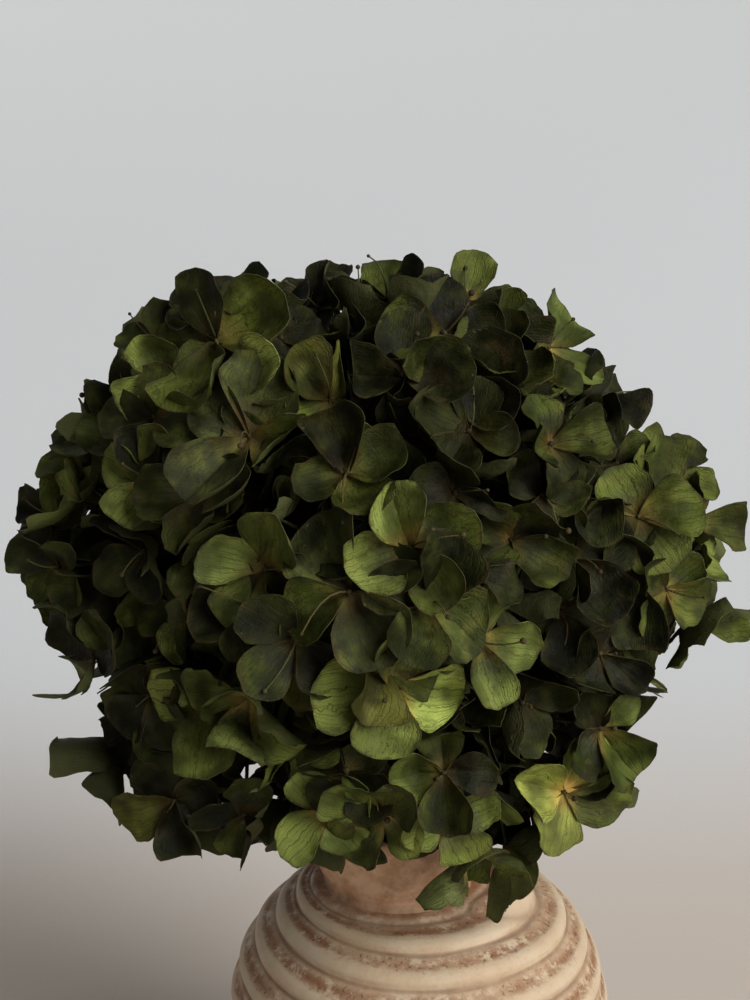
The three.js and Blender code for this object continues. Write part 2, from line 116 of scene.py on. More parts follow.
# The florets of the bunch's face: right, up, turn and sepal length, as the frame has them.
FACE = [
    (-62, 23, 62, 27), (-96, 30, 85, 20), (-80, 3, 8, 22), (-71, 72, 30, 20), (-99, 60, 20, 18),
    (-35, 76, 88, 17), (8, 60, 90, 21), (18, 81, 60, 16), (-7, 45, 0, 23), (-29, 36, 40, 19),
    (-27, 9, 20, 21), (17, 25, 70, 18), (46, 20, 88, 19), (-4, -17, 28, 22), (2, -37, 60, 23),
    (-26, -33, 35, 26), (21, -51, 86, 20), (-11, -68, 75, 25), (8, -98, 10, 20),
    (-73, -67, 12, 25), (-56, -25, 70, 21), (-80, -42, 85, 20), (-89, -108, 20, 20),
    (-64, -113, 75, 19), (51, -105, 60, 23), (64, -82, 30, 21), (10, -115, 20, 18),
    (-14, -113, 50, 20), (-34, -112, 40, 18), (97, 14, 40, 18), (101, -8, 80, 19), (88, -32, 55, 18),
    (-137, -4, 10, 18), (-130, -24, 60, 18), (55, -22, 25, 22), (43, 2, 60, 20),
    (32, -14, 45, 21), (50, -40, 10, 21), (12, 3, 80, 19), (-45, -50, 40, 21),
    (-45, -85, 25, 21), (-98, -16, 35, 20), (-97, 7, 70, 19), (36, -73, 15, 21),
    (-27, -98, 60, 20), (50, 59, 30, 20), (64, 38, 75, 20), (78, -6, 20, 20),
    (-62, -38, 15, 21), (-98, -70, 50, 20), (64, -55, 40, 20), (-14, 78, 30, 18),
]

# ---- fine detail

SEPAL_ROWS = 12
SEPAL_COLUMNS = 9
SEPAL_THICKNESS = 0.42
SEPAL_WIDTH = 0.47  # half the width of a sepal as a share of its length
TIP_ARC = math.pi / 4
PEDICEL = 0.55
BOX_ROOM = 3.0
# Room round the stems for sepals, stalks and florets, and the depth and height where stems are met.
STEM_ROOM, STALK_ROOM, FLORET_ROOM = 3.2, 5.5, 6.5
STEM_STEP = 3.0
STEM_DEPTH = 6.0
STEM_FREE_HEIGHT = 175.0
STEM_FAR = 99.0
CHUNK = 4096
SHORTER = (0.85, 0.7, 0.58, 0.47, 0.38, 0.3, 0.22)
VASE_ROOM = 1.0
RIDGE_RISE = 1.3
WISPS = Named(most=12, stray=0.35, run=(11, 9), swerve=0.4, edge=1.0)
BUTTON_SIZE, BUD_SIZE = (0.75, 0.45), (0.6, 0.6)  # least radius and its range
HEAD_SEED, STEM_SEED = 4100, 700
AXIS_STRAY = 0.35
# The core's plain hole for its stem, floor and mouth, and its notches for the stems that pass.
HOLE = (2.9, 4.2)
NOTCH_ROOM = 6.0
SOCKET_AIR = 0.6
CORE_SIZE = 0.44
CORE_TONE = 0.3
# The waving border between two heads: where sepals begin to bend, height and runs of its waves.
BORDER = Named(bend=3.0, push=0.45, wave=2.6, runs=[(0.11, 0.05, 0.09), (-0.06, 0.12, 0.10)])
BORDER_ROOM = Named(sepal=0.45, stalk=1.3, wisp=1.5, core=1.5, button=1.7)
# Sepals deep inside the bunch are darker, painted shade where little light reaches them: by how
# much, from and over what depth.
DEEP_PAINTED_SHADE = Named(dark=0.82, start=5.0, over=18.0)
# Where the florets are darker and greyer; where painted light makes them brighter and yellower, as
# if lit through from the right and behind; and where painted light makes them paler, at the lower
# front: middle, reach.
DARK_GREY_PATCH = (np.array([50.0, -50.0, 268.0]), np.array([40.0, 70.0, 46.0]))
PAINTED_BACKLIGHT = (np.array([97.0, -10.0, 248.0]), np.array([26.0, 60.0, 46.0]))
PAINTED_FRONT_LIGHT = (np.array([-8.0, -105.0, 236.0]), np.array([42.0, 45.0, 44.0]))
# The bunch is narrower low down: from what height and over what, and by how much.
LOW = Named(start=252.0, over=30.0, deeper=7.0, shorter=0.12, wisps=0.75)
# More florets on each head, layer by layer: tries, least distance, depth and length with their
# ranges, tilt, distance from stems, least distance from the frame's florets, and how much painted
# shade darkens them.
FILL = [
    Named(
        tries=230, spacing=18.5, depth=9, deeper=9, length=16, longer=6, tilt=1.7, clear=7,
        apart=14.5, inner=0.35,
    ),
    Named(
        tries=150, spacing=17.0, depth=23, deeper=9, length=16, longer=5, tilt=1.6, clear=10,
        apart=0, inner=1.0,
    ),
]
FILL_SPREAD = Named(jitter=0.3, hollow=52, turn=0.6, three=0.12, five=0.92)
# Least value and range of each sepal's lift, span and curl, on the frame's florets and on more.
FRAME_SEPALS = ((-0.1, 0.55), (0.85, 0.25), (-0.12, 0.3))
FILL_SEPALS = ((-0.3, 1.05), (0.78, 0.32), (-0.3, 0.6))
# Further stray of a sepal's turn, on the frame's florets and on more, and of its lift and curl:
# range and middle.
TURN_STRAY = (0.3, 0.5)
LIFT_STRAY, CURL_STRAY = (0.5, 0.35), (0.3, 0.6)
OWN_TONE = np.array([0.65, 0.6, 0.4])  # the share of a floret's own hue, value and spots
# Least and most of what strays in a sepal's shape, as shares of its length.
STRAY = dict(
    widest=(0.50, 0.66), claw=(0.85, 1.35), start=(0, 2 * math.pi), halves=(-1.5, 1.5),
    outline=(0.0, 0.07), end=(0.0, 0.015), breadth=(0.84, 1.12), slant=(-0.16, 0.16),
    tip=(-0.01, 0.065), cup=(0.04, 0.38), fold=(0.08, 0.30), furrow=(0.0, 0.05),
    twist=(-0.10, 0.10), bow=(-0.16, 0.56), sides=(-1.2, 1.2), ruffle=(0.01, 0.11),
    curled=(-0.5, 0.9), dents=(0, 6), dented=(0, 1.6), any=(0, 1),
)
FOLDED_FROM, CURLED_FROM = 0.7, 0.55
OUTLINE_WAVES, RUFFLE_WAVES = (1.4, 3.1), (1.3, 2.6)
CURL_EDGE = 0.55
DENT = 0.012
MIDRIB = (0.22, 0.16)  # height and width of the rib below each sepal
# The third leaf value: undersides, stalks, buttons and cores; sepals' upper sides have 0.
KIND = Named(under=0.25, stalk=1.0, button=1.5, core=2.0)


def seeded(seed):
    state = seed & 0xFFFFFFFF
    while True:
        state = (state * 1664525 + 1013904223) & 0xFFFFFFFF
        yield state / 4294967296


def smooth(x):
    t = np.clip(x, 0, 1)
    return t * t * (3 - 2 * t)


def unit(v):
    return v / np.linalg.norm(v)


def unit_rows(v, spare=0.0):
    """Rows made one long; spare is added to their lengths where one of them may be nothing."""
    return v / (np.linalg.norm(v, axis=-1, keepdims=True) + spare)


# ---- places of the frame's florets


def partings(index):
    planes = []
    for other in range(len(HEADS)):
        if other == index:
            continue
        normal = MIDDLES[other] - MIDDLES[index]
        distance = np.linalg.norm(normal)
        normal = normal / distance
        share = (distance**2 + RADII[index] ** 2 - RADII[other] ** 2) / (2 * distance)
        if distance < RADII[index] + RADII[other] + SPREAD.reach:
            hand = 1 if index < other else -1
            planes.append((normal, normal @ MIDDLES[index] + share - SPREAD.gap, hand))
    return planes


def soft_shift(beyond, soft):
    """The way back for what nears or passes a border, eased in over the distance soft."""
    bent = -soft * np.exp(-(np.maximum(beyond, -soft) + soft) / soft)
    return np.where(beyond > -soft, bent - beyond, 0.0)


def bend_clear(points, planes, margin):
    for normal, offset, _ in planes:
        beyond = points @ normal - offset + margin
        points = points + soft_shift(beyond, SPREAD.bend)[..., None] * normal
    return points


BOX_PLANES = [
    (sign * np.eye(3)[axis], sign * cad_box[side][axis] / MM + BOX_ROOM, 0)
    for side, sign in ((0, -1), (1, 1)) for axis in range(3)
]


def bend_wavy(points, planes, margin):
    """Keep points on their side of borders that wave, so that the florets of heads interleave.

    What is pressed back from a border is pushed out of the bunch a little, as crowded sepals are.
    """
    for firm in (False, True):
        for normal, offset, hand in planes:
            depth = points @ normal
            flat = points - depth[..., None] * normal
            wave = sum(np.sin(flat @ np.array(run) + k) for k, run in enumerate(BORDER.runs))
            beyond = depth - offset - hand * BORDER.wave * wave + margin
            shift = -np.maximum(beyond, 0.0) if firm else soft_shift(beyond, BORDER.bend)
            points = points + shift[..., None] * normal
            if not firm:
                out = points - BUNCH_MIDDLE
                out = unit_rows(out - (out @ normal)[..., None] * normal, 1e-6)
                points = points - BORDER.push * shift[..., None] * out
    return points


def depth_inside(points):
    """How deep points lie below the round outside of all heads together."""
    return np.max([
        radius - np.linalg.norm(points - middle, axis=-1)
        for middle, radius in zip(MIDDLES, RADII)
    ], axis=0)


def stem_offsets(points, paths):
    """For points [n, 3] the offset from the nearest stem's middle line, square to it."""
    samples = np.concatenate(paths)
    along = np.concatenate([unit_rows(np.gradient(path, axis=0)) for path in paths])
    squares = np.sum(samples**2, axis=1)
    picks = np.concatenate([
        np.argmin(squares - 2 * points[k : k + CHUNK] @ samples.T, axis=1)
        for k in range(0, len(points), CHUNK)
    ])
    offset = points - samples[picks]
    run = np.sum(offset * along[picks], axis=1)
    return offset - np.clip(run, -STEM_STEP, STEM_STEP)[:, None] * along[picks]


def stem_gap(points, paths):
    """How far points are from the nearest stem's middle line, worked out where stems can be met."""
    flat = points.reshape(-1, 3)
    gap = np.full(len(flat), STEM_FAR)
    inside = np.flatnonzero((depth_inside(flat) > STEM_DEPTH) | (flat[:, 2] < STEM_FREE_HEIGHT))
    if len(inside):
        gap[inside] = np.linalg.norm(stem_offsets(flat[inside], paths), axis=1)
    return gap.reshape(points.shape[:-1])


def vase_gap(points):
    """How far points are from the vase's shoulder and neck, taken as solid; below zero inside."""
    x, y, z = (points[..., k] for k in range(3))
    span = VASE.belly_radius - VASE.neck_radius
    rise = VASE.shoulder_height - VASE.belly_height
    angle = np.zeros(x.shape)
    for _ in range(2):
        across = np.hypot(x - neck_shift(angle), y)
        angle = np.arccos(np.clip((across - VASE.neck_radius) / span, 0, 1)) / DEGREE
    surface = VASE.belly_height + rise * np.sin(angle * DEGREE) + RIDGE_RISE
    for mx, my, mr, mz in MOUNDS:
        surface = surface + mz * smooth((mr - np.hypot(x - mx, y - my)) / MOUND_EDGE)
    body = np.maximum(z - surface, across - VASE.belly_radius - RIDGE_RISE)
    knots = np.array(NECK[:NECK_OUTSIDE])
    limit = np.interp(z, knots[:, 1], knots[:, 0])
    neck = np.maximum(np.hypot(x - VASE.neck_offset, y) - limit, z - knots[-1, 1])
    return np.minimum(body, neck)


def shrink_clear(groups, bases, paths):
    """Shorten the groups of points [n, v, 3] towards their bases until they meet no stem or vase."""
    def crossing(points):
        points = np.concatenate([points, (points[:, 1:] + points[:, :-1]) / 2], axis=1)
        near = stem_gap(points, paths).min(axis=1) < STEM_ROOM
        return near | (vase_gap(points).min(axis=1) < VASE_ROOM)

    shape = groups - bases
    groups = groups.copy()
    left = np.flatnonzero(crossing(groups))
    for share in SHORTER:
        if not len(left):
            break
        groups[left] = bases[left] + share * shape[left]
        left = left[crossing(groups[left])]
    if len(left):
        away = unit_rows(stem_offsets(bases[left].reshape(-1, 3), paths))
        lack = np.maximum(STEM_ROOM - stem_gap(groups[left], paths).min(axis=1), 0)
        groups[left] += (lack[:, None] * away)[:, None]
    return groups


def push_clear(points, paths, room):
    """Push single points away from the stems and up from the vase."""
    flat = points.reshape(-1, 3)
    offset = stem_offsets(flat, paths)
    distance = np.linalg.norm(offset, axis=1) + 1e-6
    flat = flat + offset * (np.maximum(room - distance, 0) / distance)[:, None]
    flat[:, 2] += np.maximum(2 * VASE_ROOM - vase_gap(flat), 0)
    return flat.reshape(points.shape)


def near_vase(place):
    across = math.hypot(place[0], place[1]) / (VASE.belly_radius + KEEP.body)
    up = (place[2] - VASE.belly_height) / (
        VASE.shoulder_height + KEEP.body - VASE.belly_height
    )
    in_body = up < 1 and across**2 + max(0, up) ** 2 < 1
    from_neck = math.hypot(place[0] - VASE.neck_offset, place[1])
    return in_body or (from_neck < KEEP.neck and place[2] < KEEP.neck_height)


def spiral_direction(i, count):
    z = 1 - (2 * (i + 0.5)) / count
    across = math.sqrt(1 - z * z)
    turn = i * math.pi * (3 - math.sqrt(5))
    return np.array([across * math.cos(turn), across * math.sin(turn), z])


def strayed(direction, draws, amount):
    return unit(direction + (np.array(draws) - 0.5) * amount)


def face_place(across, up):
    target = FACE_ORIGIN + FACE_UP * up + np.array([across, 0, 0])
    ray = unit(target - EYE)
    best = None
    for index, middle in enumerate(MIDDLES):
        reach = RADII[index] - FLORET.inset
        near = ray @ (middle - EYE)
        miss = np.linalg.norm(EYE + ray * near - middle) - reach
        depth = near - math.sqrt(max(0, reach**2 - (miss + reach) ** 2))
        rank = MISSED + miss if miss > 0 else depth
        if best is None or rank < best[0]:
            best = (rank, index, unit(EYE + ray * depth - middle))
    return best[1:]


face_florets = [(*face_place(a, u), roll, length) for a, u, roll, length in FACE]


def turned(direction, aim, share):
    return unit(direction + (aim - direction) * share)


def settled(place, planes):
    """A floret's place kept clear of the partings, and how far beyond them it was."""
    beyond = max(normal @ place - offset for normal, offset, _ in planes)
    return bend_clear(place[None], planes, SPREAD.margin)[0], beyond


def crowded(place, florets, spacing):
    return any(np.linalg.norm(f.place - place) < spacing for f in florets)


def ranged(rules, draws):
    """Rows of draws as lifts, spans and curls by their least values and ranges."""
    rows = ([least + extent * d for d in row] for (least, extent), row in zip(rules, draws))
    return dict(zip(("lifts", "spans", "curls"), rows))


def frame_florets(index, planes):
    """The florets that the frame's head has, with the shape of each."""
    random = seeded(SEED[0] + SEED[1] * index)
    chosen = [f for f in face_florets if f[0] == index]
    florets = []
    for i in range(len(chosen) + SPREAD.candidates):
        draws = [next(random) for _ in range(DRAWS)]
        face = chosen[i] if i < len(chosen) else None
        if face:
            direction = face[1]
        else:
            even = spiral_direction(i - len(chosen), SPREAD.candidates)
            direction = strayed(even, draws[0:3], SPREAD.jitter)
        depth = FLORET.inset + (0 if face else FLORET.unevenness * (draws[3] - 0.5))
        place, beyond = settled(MIDDLES[index] + direction * (RADII[index] - depth), planes)
        outward = place - BUNCH_MIDDLE
        hidden = beyond > SPREAD.squeeze or np.linalg.norm(outward) < BUNCH_HOLLOW
        pressed = crowded(place, florets, SPREAD.spacing)
        if not face and (hidden or pressed or near_vase(place)):
            continue
        share = SPREAD.pressed_turn * float(smooth(1 + beyond / FLORET.length))
        direction = turned(direction, unit(outward), share)
        if face:
            direction = turned(direction, unit(EYE - place), SPREAD.face_turn)
        tilt = SPREAD.face_tilt if face else SPREAD.tilt
        florets.append(Named(
            place=place,
            axis=strayed(direction, draws[4:7], tilt),
            roll=(face[2] if face else draws[7] * 90) * DEGREE,
            length=face[3] if face else FLORET.length * (0.88 + 0.24 * draws[8]),
            inner=0.0,
            **ranged(FRAME_SEPALS, (draws[9:13], draws[13:17], draws[17:21])),
        ))
    return florets


def fill_florets(index, planes, florets, paths, rng):
    """Smaller florets in the gaps between those of the frame, and a second layer below them."""
    layers = []
    for rule in FILL:
        made = []
        for i in range(rule.tries):
            draws = rng.random(8)
            even = spiral_direction(i, rule.tries)
            direction = strayed(even, draws[0:3], FILL_SPREAD.jitter)
            place = MIDDLES[index] + direction * RADII[index]
            low = float(smooth((LOW.start - place[2]) / LOW.over))
            depth = rule.depth + rule.deeper * draws[3] + LOW.deeper * low
            place, beyond = settled(place - direction * depth, planes)
            outward = place - BUNCH_MIDDLE
            tilt_draws = rng.random(3)
            shape = rng.random((3, 5))
            hidden = beyond > SPREAD.squeeze or np.linalg.norm(outward) < FILL_SPREAD.hollow
            if hidden or near_vase(place):
                continue
            if np.linalg.norm(stem_offsets(place[None], paths)) < rule.clear:
                continue
            if crowded(place, made, rule.spacing) or crowded(place, florets, rule.apart):
                continue
            share = FILL_SPREAD.turn * float(smooth(1 + beyond / FLORET.length))
            direction = turned(direction, unit(outward), share)
            few, many = draws[4] < FILL_SPREAD.three, draws[4] > FILL_SPREAD.five
            count = 3 if few else 5 if many else 4
            length = rule.length + rule.longer * draws[6]
            made.append(Named(
                place=place,
                axis=strayed(direction, tilt_draws, rule.tilt),
                roll=draws[5] * 2 * math.pi,
                length=length * (1 - LOW.shorter * low),
                inner=rule.inner,
                **ranged(FILL_SEPALS, shape[:, :count]),
            ))
        layers += made
    return layers


# ---- mesh building


class Form(list):
    """A closed form that is repeated: its faces, and for each corner a chart and a place on it."""

    def add(self, face, chart, spots):
        self.append((face, chart, spots))

    def arrays(self):
        faces, charts, spots = zip(*self)
        totals = np.array([len(face) for face in faces])
        spots = np.concatenate([np.array(s, float) for s in spots])
        return totals, np.concatenate(faces), np.repeat(charts, totals), spots


def shell_form(rows, columns):
    """Two sheets of points, the upper first, joined round their edge."""
    form = Form()
    under = rows * columns

    def spot(i, j):
        return (0.06 + 0.88 * j / (columns - 1), 0.06 + 0.88 * i / (rows - 1))

    for i in range(rows - 1):
        for j in range(columns - 1):
            square = [(i, j), (i + 1, j), (i + 1, j + 1), (i, j + 1)]
            upper = [a * columns + b for a, b in square]
            form.add(upper, 0, [spot(a, b) for a, b in square])
            form.add([under + v for v in upper[::-1]], 1, [spot(a, b) for a, b in square[::-1]])
    rim = [(0, j) for j in range(columns)]
    rim += [(i, columns - 1) for i in range(1, rows)]
    rim += [(rows - 1, j) for j in range(columns - 2, -1, -1)]
    rim += [(i, 0) for i in range(rows - 2, 0, -1)]
    for k, (i, j) in enumerate(rim):
        a, b = rim[(k + 1) % len(rim)]
        near, far = i * columns + j, a * columns + b
        out = [
            (0.5 + (x - 0.5) * 1.06, 0.5 + (y - 0.5) * 1.06)
            for x, y in (spot(a, b), spot(i, j))
        ]
        form.add([near, far, under + far, under + near], 0, [spot(i, j), spot(a, b), *out])
    return form.arrays()


def tube_form(rings, sides):
    """Rings of points with a point at both ends."""
    form = Form()
    start, end = rings * sides, rings * sides + 1

    def spot(k, i):
        return (0.04 + 0.92 * i / sides, 0.12 + 0.76 * k / (rings - 1))

    for i in range(sides):
        j = (i + 1) % sides
        form.add([start, j, i], 0, [(spot(0, i + 0.5)[0], 0.04), spot(0, i + 1), spot(0, i)])
        for k in range(rings - 1):
            low, high = k * sides, (k + 1) * sides
            corners = [spot(k, i), spot(k, i + 1), spot(k + 1, i + 1), spot(k + 1, i)]
            form.add([low + i, low + j, high + j, high + i], 0, corners)
        top = (rings - 1) * sides
        tip = (spot(0, i + 0.5)[0], 0.96)
        form.add([top + i, top + j, end], 0, [spot(rings - 1, i), spot(rings - 1, i + 1), tip])
    return form.arrays()


def add_object(name, data):
    item = bpy.data.objects.new(name, data)
    bpy.context.scene.collection.objects.link(item)
    return item


def joined(arrays):
    return np.concatenate(arrays).astype(np.float32).ravel()


def make_object(name, parts, material, smooth_angle=50):
    """One mesh out of parts: form, points [n, v, 3], leaf [n, v, 3] and tone [n, 3] or as leaf."""
    points, leaves, tones, corners, totals, uvs = [], [], [], [], [], []
    charts = sum(len(p) * (int(form[2].max()) + 1) for form, p, _, _ in parts)
    side = math.ceil(math.sqrt(charts))
    first_point = 0
    first_chart = 0
    for (face_totals, face_corners, corner_charts, spots), place, leaf, tone in parts:
        n, v = place.shape[:2]
        kinds = int(corner_charts.max()) + 1
        offsets = first_point + v * np.arange(n)
        corners.append((face_corners[None] + offsets[:, None]).ravel())
        totals.append(np.tile(face_totals, n))
        cells = first_chart + kinds * np.arange(n)[:, None] + corner_charts[None]
        origin = np.stack([cells % side, cells // side], -1)
        uvs.append(((origin + spots[None]) / side).reshape(-1, 2))
        points.append(place.reshape(-1, 3) * MM)
        leaves.append(leaf.reshape(-1, 3))
        tones.append(tone.reshape(-1, 3) if tone.ndim == 3 else np.repeat(tone, v, axis=0))
        first_point += n * v
        first_chart += n * kinds
    corners = np.concatenate(corners).astype(np.int32)
    totals = np.concatenate(totals).astype(np.int32)
    mesh = bpy.data.meshes.new(name)
    mesh.vertices.add(first_point)
    mesh.vertices.foreach_set("co", joined(points))
    mesh.loops.add(len(corners))
    mesh.loops.foreach_set("vertex_index", corners)
    mesh.polygons.add(len(totals))
    starts = np.concatenate([[0], np.cumsum(totals)[:-1]]).astype(np.int32)
    mesh.polygons.foreach_set("loop_start", starts)
    mesh.update(calc_edges=True)
    mesh.polygons.foreach_set("use_smooth", np.ones(len(totals), bool))
    mesh.uv_layers.new(name="OFBake").uv.foreach_set("vector", joined(uvs))
    for key, rows in (("leaf", leaves), ("tone", tones)):
        data = mesh.attributes.new(key, "FLOAT_VECTOR", "POINT").data
        data.foreach_set("vector", joined(rows))
    mesh.set_sharp_from_angle(angle=smooth_angle * DEGREE)
    mesh.validate()
    mesh.materials.append(material)
    return add_object(name, mesh)


# ---- florets


ALONG = np.linspace(0, 1, SEPAL_ROWS)[None, :, None]
ACROSS = np.linspace(-1, 1, SEPAL_COLUMNS)[None, None, :]
EDGE = np.abs(ACROSS)


def floret_tone(floret, rng):
    """A floret's own hue, value and spots, darker and greyer in one patch, with painted light at the
    right edge and lower front and painted shade in the lower layers.
    """
    hue, value, spots = rng.random(3)
    greyed, backlit, front_lit = (
        math.exp(-float(np.sum(((floret.place - at) / reach) ** 2)))
        for at, reach in (DARK_GREY_PATCH, PAINTED_BACKLIGHT, PAINTED_FRONT_LIGHT)
    )
    # Painted light: florets at the right edge are brighter and yellower, as if lit through from
    # behind, and those at the lower front paler.
    hue += (1 - hue) * 0.6 * backlit - hue * 0.5 * greyed
    value += (1 - value) * 0.8 * backlit - value * 0.6 * greyed
    value += (1 - value) * 0.5 * front_lit
    # Painted shade: florets of the lower layers get a lower value.
    return np.array([hue, value * (1 - 0.25 * floret.inner), spots])


def sepal_list(florets, rng):
    """Each sepal's place, its three directions, length, lift, curl and tone, as arrays."""
    sepals = []
    for floret in florets:
        axis = floret.axis
        across = unit(np.cross([0, 0, 1], axis))
        up = np.cross(axis, across)
        own = floret_tone(floret, rng)
        count = len(floret.lifts)
        for k in range(count):
            turn = floret.roll + k * 2 * math.pi / count
            turn += (rng.random() - 0.5) * TURN_STRAY[floret.inner > 0]
            sepals.append((
                floret.place,
                across * math.cos(turn) + up * math.sin(turn),
                -across * math.sin(turn) + up * math.cos(turn),
                axis,
                floret.length * floret.spans[k],
                floret.lifts[k] + LIFT_STRAY[0] * (rng.random() - LIFT_STRAY[1]),
                floret.curls[k] + CURL_STRAY[0] * (rng.random() - CURL_STRAY[1]),
                OWN_TONE * own + (1 - OWN_TONE) * rng.random(3),
            ))
    arrays = [np.array(values) for values in zip(*sepals)]
    return *(v[:, None, None] for v in arrays[:-1]), arrays[-1]


def sepal_shape(lift, curl, rng):
    """Along, across and up for the points of every sepal, as shares of its length."""
    def drawn(name):
        least, most = STRAY[name]
        return (least + (most - least) * rng.random(len(lift)))[:, None, None]

    def phase(name):
        return drawn("start") + drawn(name) * np.sign(s)

    t, s, edge = ALONG, ACROSS, EDGE
    widest, claw = drawn("widest"), drawn("claw")
    arc = (1 - widest) * (1 - np.cos(TIP_ARC * s)) * t**1.5
    x = 0.02 + 0.96 * t - arc
    outer = np.clip((x - widest) / (1 - widest), 0, 1)
    inner = np.sin(math.pi / 2 * np.clip(x / widest, 0, 1)) ** claw
    width = np.where(x > widest, np.sqrt(1 - 0.96 * outer**2), 0.05 + 0.95 * inner)
    width = width[:, :, -1:]
    for waves in OUTLINE_WAVES:
        start = phase("halves")
        rise = drawn("outline") / waves * np.sin(2 * math.pi * waves * t + start)
        width = width * (1 + rise)
        x = x + drawn("end") * np.sin(2.5 * waves * s + start) * smooth(t * 2 - 1)
    width = width * SEPAL_WIDTH * drawn("breadth")
    slant = drawn("slant")
    x = x + drawn("tip") * (1 - edge) ** 1.6 * smooth((t - 0.55) / 0.45)
    y = width * s + slant * t * t
    flatter = 1 - 0.6 * t**3
    z = 0.93 * lift * t + curl * smooth((t - 0.5) / 0.5)
    z = z + drawn("cup") * edge**2 * flatter * width / SEPAL_WIDTH
    folded = drawn("any") > FOLDED_FROM
    z = z + folded * drawn("fold") * edge * smooth(t * 2.5) * flatter
    z = z - drawn("furrow") * (1 - edge) ** 2 * smooth(t * 4) * smooth((1 - t) * 4)
    z = z + drawn("twist") * s * t
    z = z - drawn("bow") * t * (1 - t)
    for waves in RUFFLE_WAVES:
        start = phase("sides")
        rise = drawn("ruffle") / waves * np.sin(2 * math.pi * waves * t + start)
        z = z + rise * edge**2
    roll = drawn("curled") * (drawn("any") > CURLED_FROM)
    z = z + roll * np.maximum(edge - CURL_EDGE, 0) ** 2 * smooth(t * 2) * flatter
    z = z + DENT * np.sin(9 * t + 7 * s + drawn("dents")) * drawn("dented")
    return x, y, z


def sepal_part(florets, planes, paths, rng):
    """Every sepal of the florets as two sheets, with its leaf and tone values."""
    place, ray, side, axis, length, lift, curl, tone = sepal_list(florets, rng)
    n = len(place)
    x, y, z = (v[..., None] for v in sepal_shape(lift, curl, rng))
    sheet = place + length[..., None] * (ray * x + side * y + axis * z)
    sheet = bend_wavy(sheet, planes, BORDER_ROOM.sepal)
    sheet = bend_clear(sheet, BOX_PLANES, 0.0)
    bases = sheet[:, 0, SEPAL_COLUMNS // 2][:, None]
    sheet = shrink_clear(sheet.reshape(n, -1, 3), bases, paths).reshape(sheet.shape)
    normal = unit_rows(np.cross(np.gradient(sheet, axis=1), np.gradient(sheet, axis=2)), 1e-9)
    half = SEPAL_THICKNESS / 2 * (1 - 0.5 * EDGE**4) * (1 - 0.4 * ALONG**6)
    ridge = MIDRIB[0] * np.exp(-((ACROSS / MIDRIB[1]) ** 2)) * (1 - ALONG)
    upper = sheet + normal * half[..., None]
    lower = sheet - normal * (half + ridge)[..., None]
    points = np.stack([upper, lower], 1).reshape(n, -1, 3)
    leaf = np.zeros((n, 2, SEPAL_ROWS, SEPAL_COLUMNS, 3))
    leaf[..., 0] = ALONG[:, None]
    leaf[..., 1] = ACROSS[:, None]
    leaf[:, 1, ..., 2] = KIND.under
    tone = np.repeat(tone[:, None], points.shape[1], axis=1)
    # Painted shade: sepals are darker the deeper they lie inside the bunch.
    shade = smooth((depth_inside(points) - DEEP_PAINTED_SHADE.start) / DEEP_PAINTED_SHADE.over)
    tone[..., 1] *= 1 - DEEP_PAINTED_SHADE.dark * shade
    return SHELL, points, leaf.reshape(n, -1, 3), tone


def tube_points(paths, radii, sides):
    """Tubes along paths [n, k, 3] with radii [n, k], with a point at both ends."""
    ahead = unit_rows(np.gradient(paths, axis=1), 1e-9)
    seed = np.where(np.abs(ahead[:, :1, 2:3]) < 0.9, [[[0, 0, 1.0]]], [[[1.0, 0, 0]]])
    across = unit_rows(np.cross(ahead, np.broadcast_to(seed, ahead.shape)), 1e-9)
    up = np.cross(ahead, across)
    turn = np.linspace(0, 2 * math.pi, sides, endpoint=False)[:, None]
    wide = radii[:, :, None, None]
    ring = (
        paths[:, :, None]
        + wide * across[:, :, None] * np.cos(turn) + wide * up[:, :, None] * np.sin(turn)
    )
    ends = np.stack([paths[:, 0], paths[:, -1]], 1)
    return np.concatenate([ring.reshape(len(paths), -1, 3), ends], 1)


def plain_leaf(points, kind):
    """Leaf values for what isn't a sepal."""
    leaf = np.zeros(points.shape)
    leaf[..., 0] = 0.5
    leaf[..., 2] = kind
    return leaf


PEDICEL_RINGS, PEDICEL_SIDES = 6, 6
BALL_RINGS, BALL_SIDES = 5, 8
CORE_RINGS, CORE_SIDES = 34, 56
SHELL = shell_form(SEPAL_ROWS, SEPAL_COLUMNS)
PEDICEL_FORM = tube_form(PEDICEL_RINGS, PEDICEL_SIDES)
BALL_FORM = tube_form(BALL_RINGS, BALL_SIDES)
CORE_FORM = tube_form(CORE_RINGS, CORE_SIDES)
THREAD = np.linspace(0, 1, PEDICEL_RINGS)[None, :, None]


def thread_part(lines, radii, rng):
    """Stalks along lines [n, k, 3]."""
    points = tube_points(lines, radii * np.ones((len(lines), 1)), PEDICEL_SIDES)
    return PEDICEL_FORM, points, plain_leaf(points, KIND.stalk), rng.random((len(lines), 3))


def ball_part(middles, axes, size, rng):
    """Balls as tubes that swell and close along their axes."""
    n = len(middles)
    radii = (size[0] + size[1] * rng.random(n))[:, None]
    lean = np.linspace(0, math.pi, BALL_RINGS + 2)[1:-1]
    reach = -np.cos(lean)[None, :, None] * radii[..., None] * axes[:, None]
    points = tube_points(middles[:, None] + reach, radii * np.sin(lean)[None], BALL_SIDES)
    points[:, -2] = middles - axes * radii
    points[:, -1] = middles + axes * radii
    return BALL_FORM, points, plain_leaf(points, KIND.button), rng.random((n, 3))


def open_reach(middle, directions, radius, others):
    """How far from the middle each direction stays clear of the stems that pass."""
    steps = np.linspace(0, radius, 28)[1:]
    gap = np.linalg.norm(
        stem_offsets((middle + directions[:, None] * steps[:, None]).reshape(-1, 3), others), axis=1
    ).reshape(len(directions), -1)
    blocked = np.maximum.accumulate(gap < NOTCH_ROOM, axis=1)
    return np.maximum(np.max(np.where(blocked, 0, steps), axis=1), steps[0])


